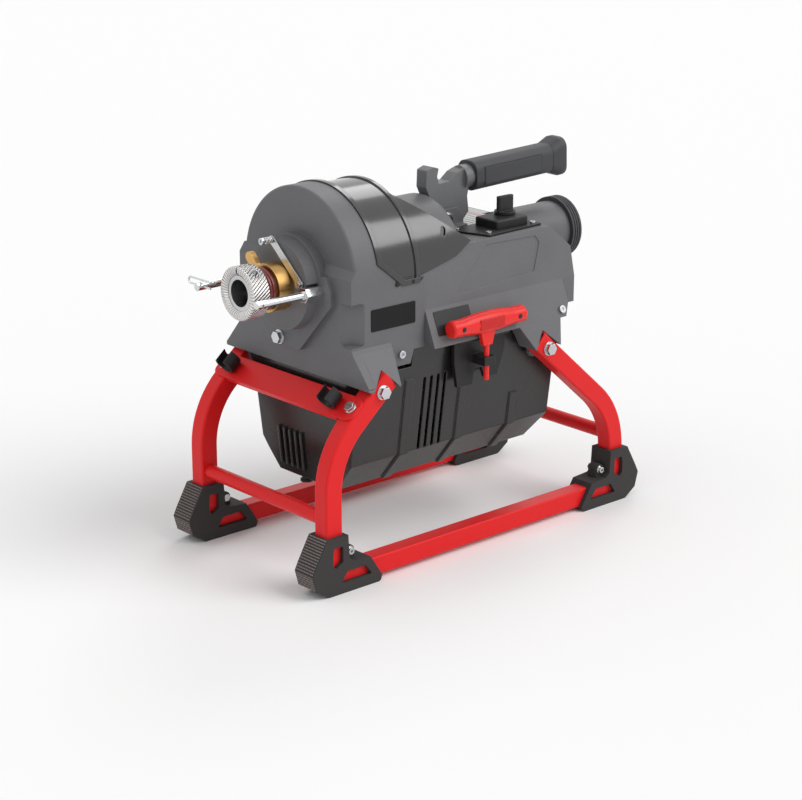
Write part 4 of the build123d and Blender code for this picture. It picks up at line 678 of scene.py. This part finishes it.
@dataclass
class GripPanels:
    """Long panels along both sides of the lever's grip, each framed by a dark border of painted
    shade that stands for the groove round it.
    """

    length: float = 112 * MM
    height: float = 24 * MM
    proud: float = 0.7 * MM
    groove: float = 1.3 * MM
    half_width: float = 20.0 * MM
    from_front: float = 73 * MM
    axis_z: float = 0.491
    above_axis: float = -1.0 * MM
    tilt: float = math.radians(2.0)
    groove_thickness: float = 0.5 * MM
    groove_rounding: float = 0.15 * MM
    panel_rounding: float = 0.6 * MM

    def build(self) -> None:
        """Build the dark surrounds, which are painted groove shade, then the panels on them."""
        low, _ = (Vector(corner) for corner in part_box("lever_grip"))
        middle_z = self.axis_z + self.above_axis
        centre_y = low.y + self.from_front
        rise = self.from_front * math.sin(self.tilt)
        # Each groove is a thin near-black sheet behind its panel that shows as a border of
        # painted shade; nothing is cut.
        groove_shade = Piece("grip_groove_shade", PRINT_AND_SHADE, Body.LEVER, "black_rubber")
        panels = Piece("grip_panels", GRIP_RUBBER, Body.LEVER, "black_rubber")
        turn = Euler((self.tilt, 0, 0))
        for hand in (-1, 1):
            centre = Vector((hand * self.half_width, centre_y, middle_z + rise))
            surround = Vector((self.groove_thickness, self.length, self.height))
            surround += Vector((0, 2 * self.groove, 2 * self.groove))
            panel = Vector((2 * self.proud, self.length, self.height))
            groove_shade.block(centre, surround, turn, self.groove_rounding)
            panels.block(centre, panel, turn, self.panel_rounding)
        groove_shade.done()
        panels.done()


@dataclass
class DeckLabel:
    """Bare pale label on the deck under the grip, notched round the guide tube."""

    left_x: float = -82 * MM
    notch_x: float = -19 * MM
    right_x: float = 26 * MM
    front_y: float = 90 * MM
    notch_y: float = 158 * MM
    rear_y: float = 173 * MM
    thickness: float = 0.4 * MM
    stripes: int = 6
    first_stripe: float = 0.7
    stripe_ends: float = 14 * MM
    stripe_width: float = 1.6 * MM
    stripe_height: float = 0.12 * MM
    band_ends: float = 8 * MM
    band_width: float = 2.6 * MM
    band_height: float = 0.14 * MM
    band_inset: float = 6 * MM

    def outline(self) -> list[tuple[float, float]]:
        """Outline of the label seen from above, anticlockwise."""
        return [
            (self.left_x, self.front_y),
            (self.right_x, self.front_y),
            (self.right_x, self.notch_y),
            (self.notch_x, self.notch_y),
            (self.notch_x, self.rear_y),
            (self.left_x, self.rear_y),
        ]

    def build(self) -> None:
        """Build the label, its plain grey stripes and one orange band."""
        deck_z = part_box("switch_plate")[0][2]
        label = Piece("deck_label", LABEL, Body.MACHINE, "grey_casting")
        corners = [label.mesh.verts.new((x, y, deck_z)) for x, y in self.outline()]
        foot = label.mesh.faces.new(corners)
        raised = bmesh.ops.extrude_face_region(label.mesh, geom=[foot])
        verts = [item for item in raised["geom"] if isinstance(item, bmesh.types.BMVert)]
        bmesh.ops.translate(label.mesh, vec=(0, 0, self.thickness), verts=verts)
        label.done()
        top_z = deck_z + self.thickness
        stripes = Piece("deck_label_stripes", PRINT_AND_SHADE, Body.MACHINE, "black_plastic")
        run = self.notch_y - self.front_y
        middle_x = (self.left_x + self.right_x) / 2
        width = self.right_x - self.left_x
        for index in range(self.stripes):
            place = self.front_y + (index + self.first_stripe) * run / (self.stripes + 1)
            stripes.block(
                Vector((middle_x, place, top_z)),
                Vector((width - self.stripe_ends, self.stripe_width, self.stripe_height)),
            )
        stripes.done()
        band = Piece("deck_label_band", ORANGE, Body.MACHINE, "red_plastic")
        band.block(
            Vector((middle_x, self.notch_y - self.band_inset, top_z)),
            Vector((width - self.band_ends, self.band_width, self.band_height)),
        )
        band.done()


@dataclass
class KeyTrim:
    """Swollen middle of the pin key's handle, its blank panel and its side sockets."""

    socket_radius: float = 3.6 * MM
    depth: float = 0.8 * MM
    from_end: float = 16 * MM
    swell_length: float = 96 * MM
    swell_height: float = 15.5 * MM
    swell_start: float = 0.985
    side_bulge: float = 0.8 * MM
    rings: int = 12
    sides: int = 40
    panel_length: float = 46 * MM
    panel_height: float = 15 * MM
    panel_thickness: float = 3.0 * MM
    panel_sunk: float = 0.2 * MM
    panel_rounding: float = 1.0 * MM
    socket_sunk: float = 0.15 * MM
    socket_rounding: float = 0.15 * MM

    def swell(self, piece: Piece, centre: Vector, radius: float) -> None:
        """Add a barrel along Y whose middle is taller than the handle.

        Args:
            piece: Piece that it joins.
            centre: Middle of the handle.
            radius: Radius of the handle.
        """
        angles = [math.tau * side / self.sides for side in range(self.sides)]
        levels = []
        for index in range(self.rings + 1):
            share = index / self.rings
            bulge = math.sin(math.pi * share)
            tall = radius * self.swell_start + (self.swell_height - radius) * bulge
            wide = radius * self.swell_start + self.side_bulge * bulge
            along = centre.y + (share - 0.5) * self.swell_length
            ring = (
                (centre.x + wide * math.cos(angle), along, centre.z + tall * math.sin(angle))
                for angle in angles
            )
            levels.append([piece.mesh.verts.new(point) for point in ring])
        for first, second in zip(levels, levels[1:]):
            for side in range(self.sides):
                after = (side + 1) % self.sides
                piece.mesh.faces.new((first[side], first[after], second[after], second[side]))
        piece.mesh.faces.new(levels[0])
        piece.mesh.faces.new(list(reversed(levels[-1])))

    def build(self) -> None:
        """Build the swell, the side sockets and the blank panel."""
        low, high = (Vector(corner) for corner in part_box("pin_key"))
        radius = (high.x - low.x) / 2
        centre = Vector(((low.x + high.x) / 2, (low.y + high.y) / 2, high.z - radius))
        body = Piece("key_swell", RED_PLASTIC, Body.KEY, "red_plastic")
        self.swell(body, centre, radius)
        body.done()
        sockets = Piece("key_sockets", MATTE_BLACK, Body.KEY, "black_plastic")
        for end_y in (low.y + self.from_end, high.y - self.from_end):
            for hand in (-1, 1):
                side_x = centre.x + hand * (radius - self.socket_sunk)
                sockets.disc(
                    Vector((side_x, end_y, centre.z)), self.socket_radius, self.depth,
                    Vector((1, 0, 0)), round_by=self.socket_rounding,
                )
        sockets.done()
        panel = Piece("key_panel", RED_FACE, Body.KEY, "red_plastic")
        panel.block(
            Vector((centre.x + radius - self.panel_sunk, centre.y, centre.z)),
            Vector((self.panel_thickness, self.panel_length, self.panel_height)),
            None,
            self.panel_rounding,
        )
        panel.done()


@dataclass
class ShroudFins:
    """Upright stiffening fins on the leaning lower part of the shroud's front face."""

    count: int = 5
    pitch: float = 12 * MM
    first_x: float = -52 * MM
    width: float = 4 * MM
    proud: float = 3.0 * MM
    low_z: float = 116 * MM
    high_z: float = 172 * MM
    lean: float = 15.0 * MM
    lean_top: float = 250.0 * MM
    lean_foot: float = 104.0 * MM
    out_share: float = 0.4
    rounding: float = 0.8 * MM

    def build(self) -> None:
        """Build the row of fins, square to the face."""
        front_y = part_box("lower_shroud")[0][1]
        slope = self.lean / (self.lean_top - self.lean_foot)
        middle_z = (self.low_z + self.high_z) / 2
        face_y = front_y + slope * (self.lean_top - middle_z)
        centre_y = face_y - self.proud * self.out_share
        piece = Piece("shroud_fins", SATIN_BLACK, Body.MACHINE, "black_plastic")
        for index in range(self.count):
            piece.block(
                Vector((self.first_x + index * self.pitch, centre_y, middle_z)),
                Vector((self.width, 2 * self.proud, self.high_z - self.low_z)),
                Euler((math.atan(slope), 0, 0)),
                self.rounding,
            )
        piece.done()


@dataclass
class ClipScrews:
    """Screws through the middle of the two crossbar clips."""

    radius: float = 4.0 * MM
    head: float = 2.4 * MM
    inset: float = 14.5 * MM
    above_axis: float = 6.0 * MM
    rounding: float = 0.5 * MM
    facing: tuple[float, float, float] = (0.0, -0.656, 0.755)

    def build(self) -> None:
        """Build one screw head in each clip, square to the leaning crossbar."""
        low, high = (Vector(corner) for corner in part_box("spring_clips"))
        bar_low, bar_high = (Vector(corner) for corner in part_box("front_crossbar"))
        facing = Vector(self.facing)
        bar = (bar_low + bar_high) / 2
        piece = Piece("clip_screws", ZINC, Body.MACHINE, "zinc_steel")
        for place_x in (low.x + self.inset, high.x - self.inset):
            centre = Vector((place_x, bar.y, bar.z)) + facing * self.above_axis
            piece.disc(centre, self.radius, self.head, facing, SCREW_SIDES, self.rounding)
        piece.done()


@dataclass
class CoverTrim:
    """Screws that hold the belt cover's rim, along both sides."""

    radius: float = 3.36 * MM
    head: float = 2.0 * MM
    from_front: tuple[float, float] = (33 * MM, 60 * MM)
    rim_z: float = 394.8 * MM
    sunk: float = 0.9 * MM
    rounding: float = 0.4 * MM

    def build(self) -> None:
        """Build two screw heads on each side of the cover's rim."""
        low, high = (Vector(corner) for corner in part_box("belt_cover"))
        piece = Piece("cover_screws", MATTE_BLACK, Body.MACHINE, "gloss_black")
        for hand, side_x in ((-1, low.x), (1, high.x)):
            for offset in self.from_front:
                centre = Vector((side_x - hand * self.sunk, low.y + offset, self.rim_z))
                axis = Vector((hand, 0, 0))
                piece.disc(centre, self.radius, self.head, axis, SCREW_SIDES, self.rounding)
        piece.done()


@dataclass
class SwitchTrim:
    """Plain pointer mark on the switch knob."""

    from_axis: float = 5.0 * MM
    sunk: float = 0.2 * MM
    width: float = 1.4 * MM
    length: float = 6.0 * MM
    thickness: float = 0.4 * MM

    def build(self) -> None:
        """Build the pointer mark on the knob's paddle."""
        low, high = (Vector(corner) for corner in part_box("switch_knob"))
        centre = (low + high) / 2
        piece = Piece("switch_pointer", LABEL, Body.SWITCH, "black_rubber")
        piece.block(
            Vector((centre.x, centre.y - self.from_axis, high.z - self.sunk)),
            Vector((self.width, self.length, self.thickness)),
        )
        piece.done()


# --------------------------------------------------------------------------------------
# Studio
# --------------------------------------------------------------------------------------
@dataclass(frozen=True)
class Lamp:
    """One soft sun lamp."""

    name: str
    strength: float
    spread: float
    direction: tuple[float, float, float]


@dataclass
class Studio:
    """Floor, light and camera."""

    azimuth: float = math.radians(48.35)
    elevation: float = math.radians(17.65)
    distance: float = 3.00831
    shift_right: float = 0.01254
    shift_up: float = 0.02038
    aim_y: float = 0.002
    aim_z: float = 0.200
    lens: float = 94.35
    sensor: float = 36.0
    camera_reach: float = 200.0
    floor_radius: float = 40.0
    floor_sides: int = 96
    floor_colour: tuple[float, float, float, float] = (0.97, 0.97, 0.97, 1.0)
    floor_roughness: float = 0.9
    floor_specular: float = 0.1
    backdrop: tuple[float, float, float, float] = (1.0, 1.0, 1.0, 1.0)
    ambient: float = 0.50
    lamps: tuple[Lamp, ...] = (
        Lamp("key", 1.55, 42.0, (0.62, 0.42, 0.66)),
        Lamp("front", 0.45, 60.0, (-0.10, -0.62, 0.78)),
        Lamp("crown", 0.35, 24.0, (-0.41, 0.63, 0.65)),
    )

    def floor(self) -> None:
        """Plain pale floor that keeps the machine's shadow."""
        mesh = bmesh.new()
        bmesh.ops.create_circle(
            mesh, cap_ends=True, segments=self.floor_sides, radius=self.floor_radius
        )
        data = bpy.data.meshes.new("floor")
        mesh.to_mesh(data)
        mesh.free()
        obj = bpy.data.objects.new("floor", data)
        bpy.context.scene.collection.objects.link(obj)
        made = bpy.data.materials.new("pale_floor")
        made.use_nodes = True
        shader = made.node_tree.nodes["Principled BSDF"]
        shader.inputs["Base Color"].default_value = self.floor_colour
        shader.inputs["Roughness"].default_value = self.floor_roughness
        shader.inputs["Specular IOR Level"].default_value = self.floor_specular
        data.materials.append(made)

    def world(self) -> None:
        """White surroundings for the camera and reflections, softer light elsewhere."""
        world = bpy.data.worlds.new("studio")
        bpy.context.scene.world = world
        world.use_nodes = True
        tree = world.node_tree
        back = tree.nodes["Background"]
        back.inputs["Color"].default_value = self.backdrop
        path = tree.nodes.new("ShaderNodeLightPath")
        seen = Groups.math(
            tree, "MAXIMUM", path.outputs["Is Camera Ray"], path.outputs["Is Glossy Ray"]
        )
        seen = Groups.math(tree, "MAXIMUM", seen, path.outputs["Is Transmission Ray"])
        strength = tree.nodes.new("ShaderNodeMapRange")
        strength.inputs["To Min"].default_value = self.ambient
        strength.inputs["To Max"].default_value = 1.0
        tree.links.new(seen, strength.inputs["Value"])
        tree.links.new(strength.outputs[0], back.inputs["Strength"])

    def lamp(self, lamp: Lamp) -> None:
        """Add one soft sun lamp.

        Args:
            lamp: Its name, strength, spread and the direction it stands in.
        """
        data = bpy.data.lights.new(lamp.name, "SUN")
        data.energy = lamp.strength
        data.angle = math.radians(lamp.spread)
        obj = bpy.data.objects.new(lamp.name, data)
        turn = Vector((0, 0, 1)).rotation_difference(Vector(lamp.direction))
        obj.rotation_euler = turn.to_euler()
        bpy.context.scene.collection.objects.link(obj)

    def camera(self) -> None:
        """Camera at the viewing angle, aimed by its distance and its two offsets."""
        back = Vector(
            (
                math.sin(self.azimuth) * math.cos(self.elevation),
                -math.cos(self.azimuth) * math.cos(self.elevation),
                math.sin(self.elevation),
            )
        )
        right = Vector((math.cos(self.azimuth), math.sin(self.azimuth), 0.0))
        up = back.cross(right)
        place = Vector((0.0, self.aim_y, self.aim_z)) + self.distance * back
        place -= self.shift_right * right + self.shift_up * up
        data = bpy.data.cameras.new("camera")
        data.lens = self.lens
        data.sensor_width = self.sensor
        data.clip_end = self.camera_reach
        obj = bpy.data.objects.new("camera", data)
        turn = Matrix((right, up, back)).transposed().to_4x4()
        obj.matrix_world = Matrix.Translation(place) @ turn
        bpy.context.scene.collection.objects.link(obj)
        bpy.context.scene.camera = obj

    def build(self) -> None:
        """Build the studio."""
        bpy.context.scene.view_settings.view_transform = "Standard"
        self.floor()
        self.world()
        for lamp in self.lamps:
            self.lamp(lamp)
        self.camera()


def main() -> None:
    """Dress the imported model, add the trim pieces and set up the studio."""
    logging.basicConfig(level=logging.INFO, format="%(name)s: %(message)s")
    Wardrobe().dress()
    ShoeTreads().build()
    GripPanels().build()
    DeckLabel().build()
    KeyTrim().build()
    ShroudFins().build()
    ClipScrews().build()
    CoverTrim().build()
    SwitchTrim().build()
    Studio().build()


if __name__ == "__main__":
    main()
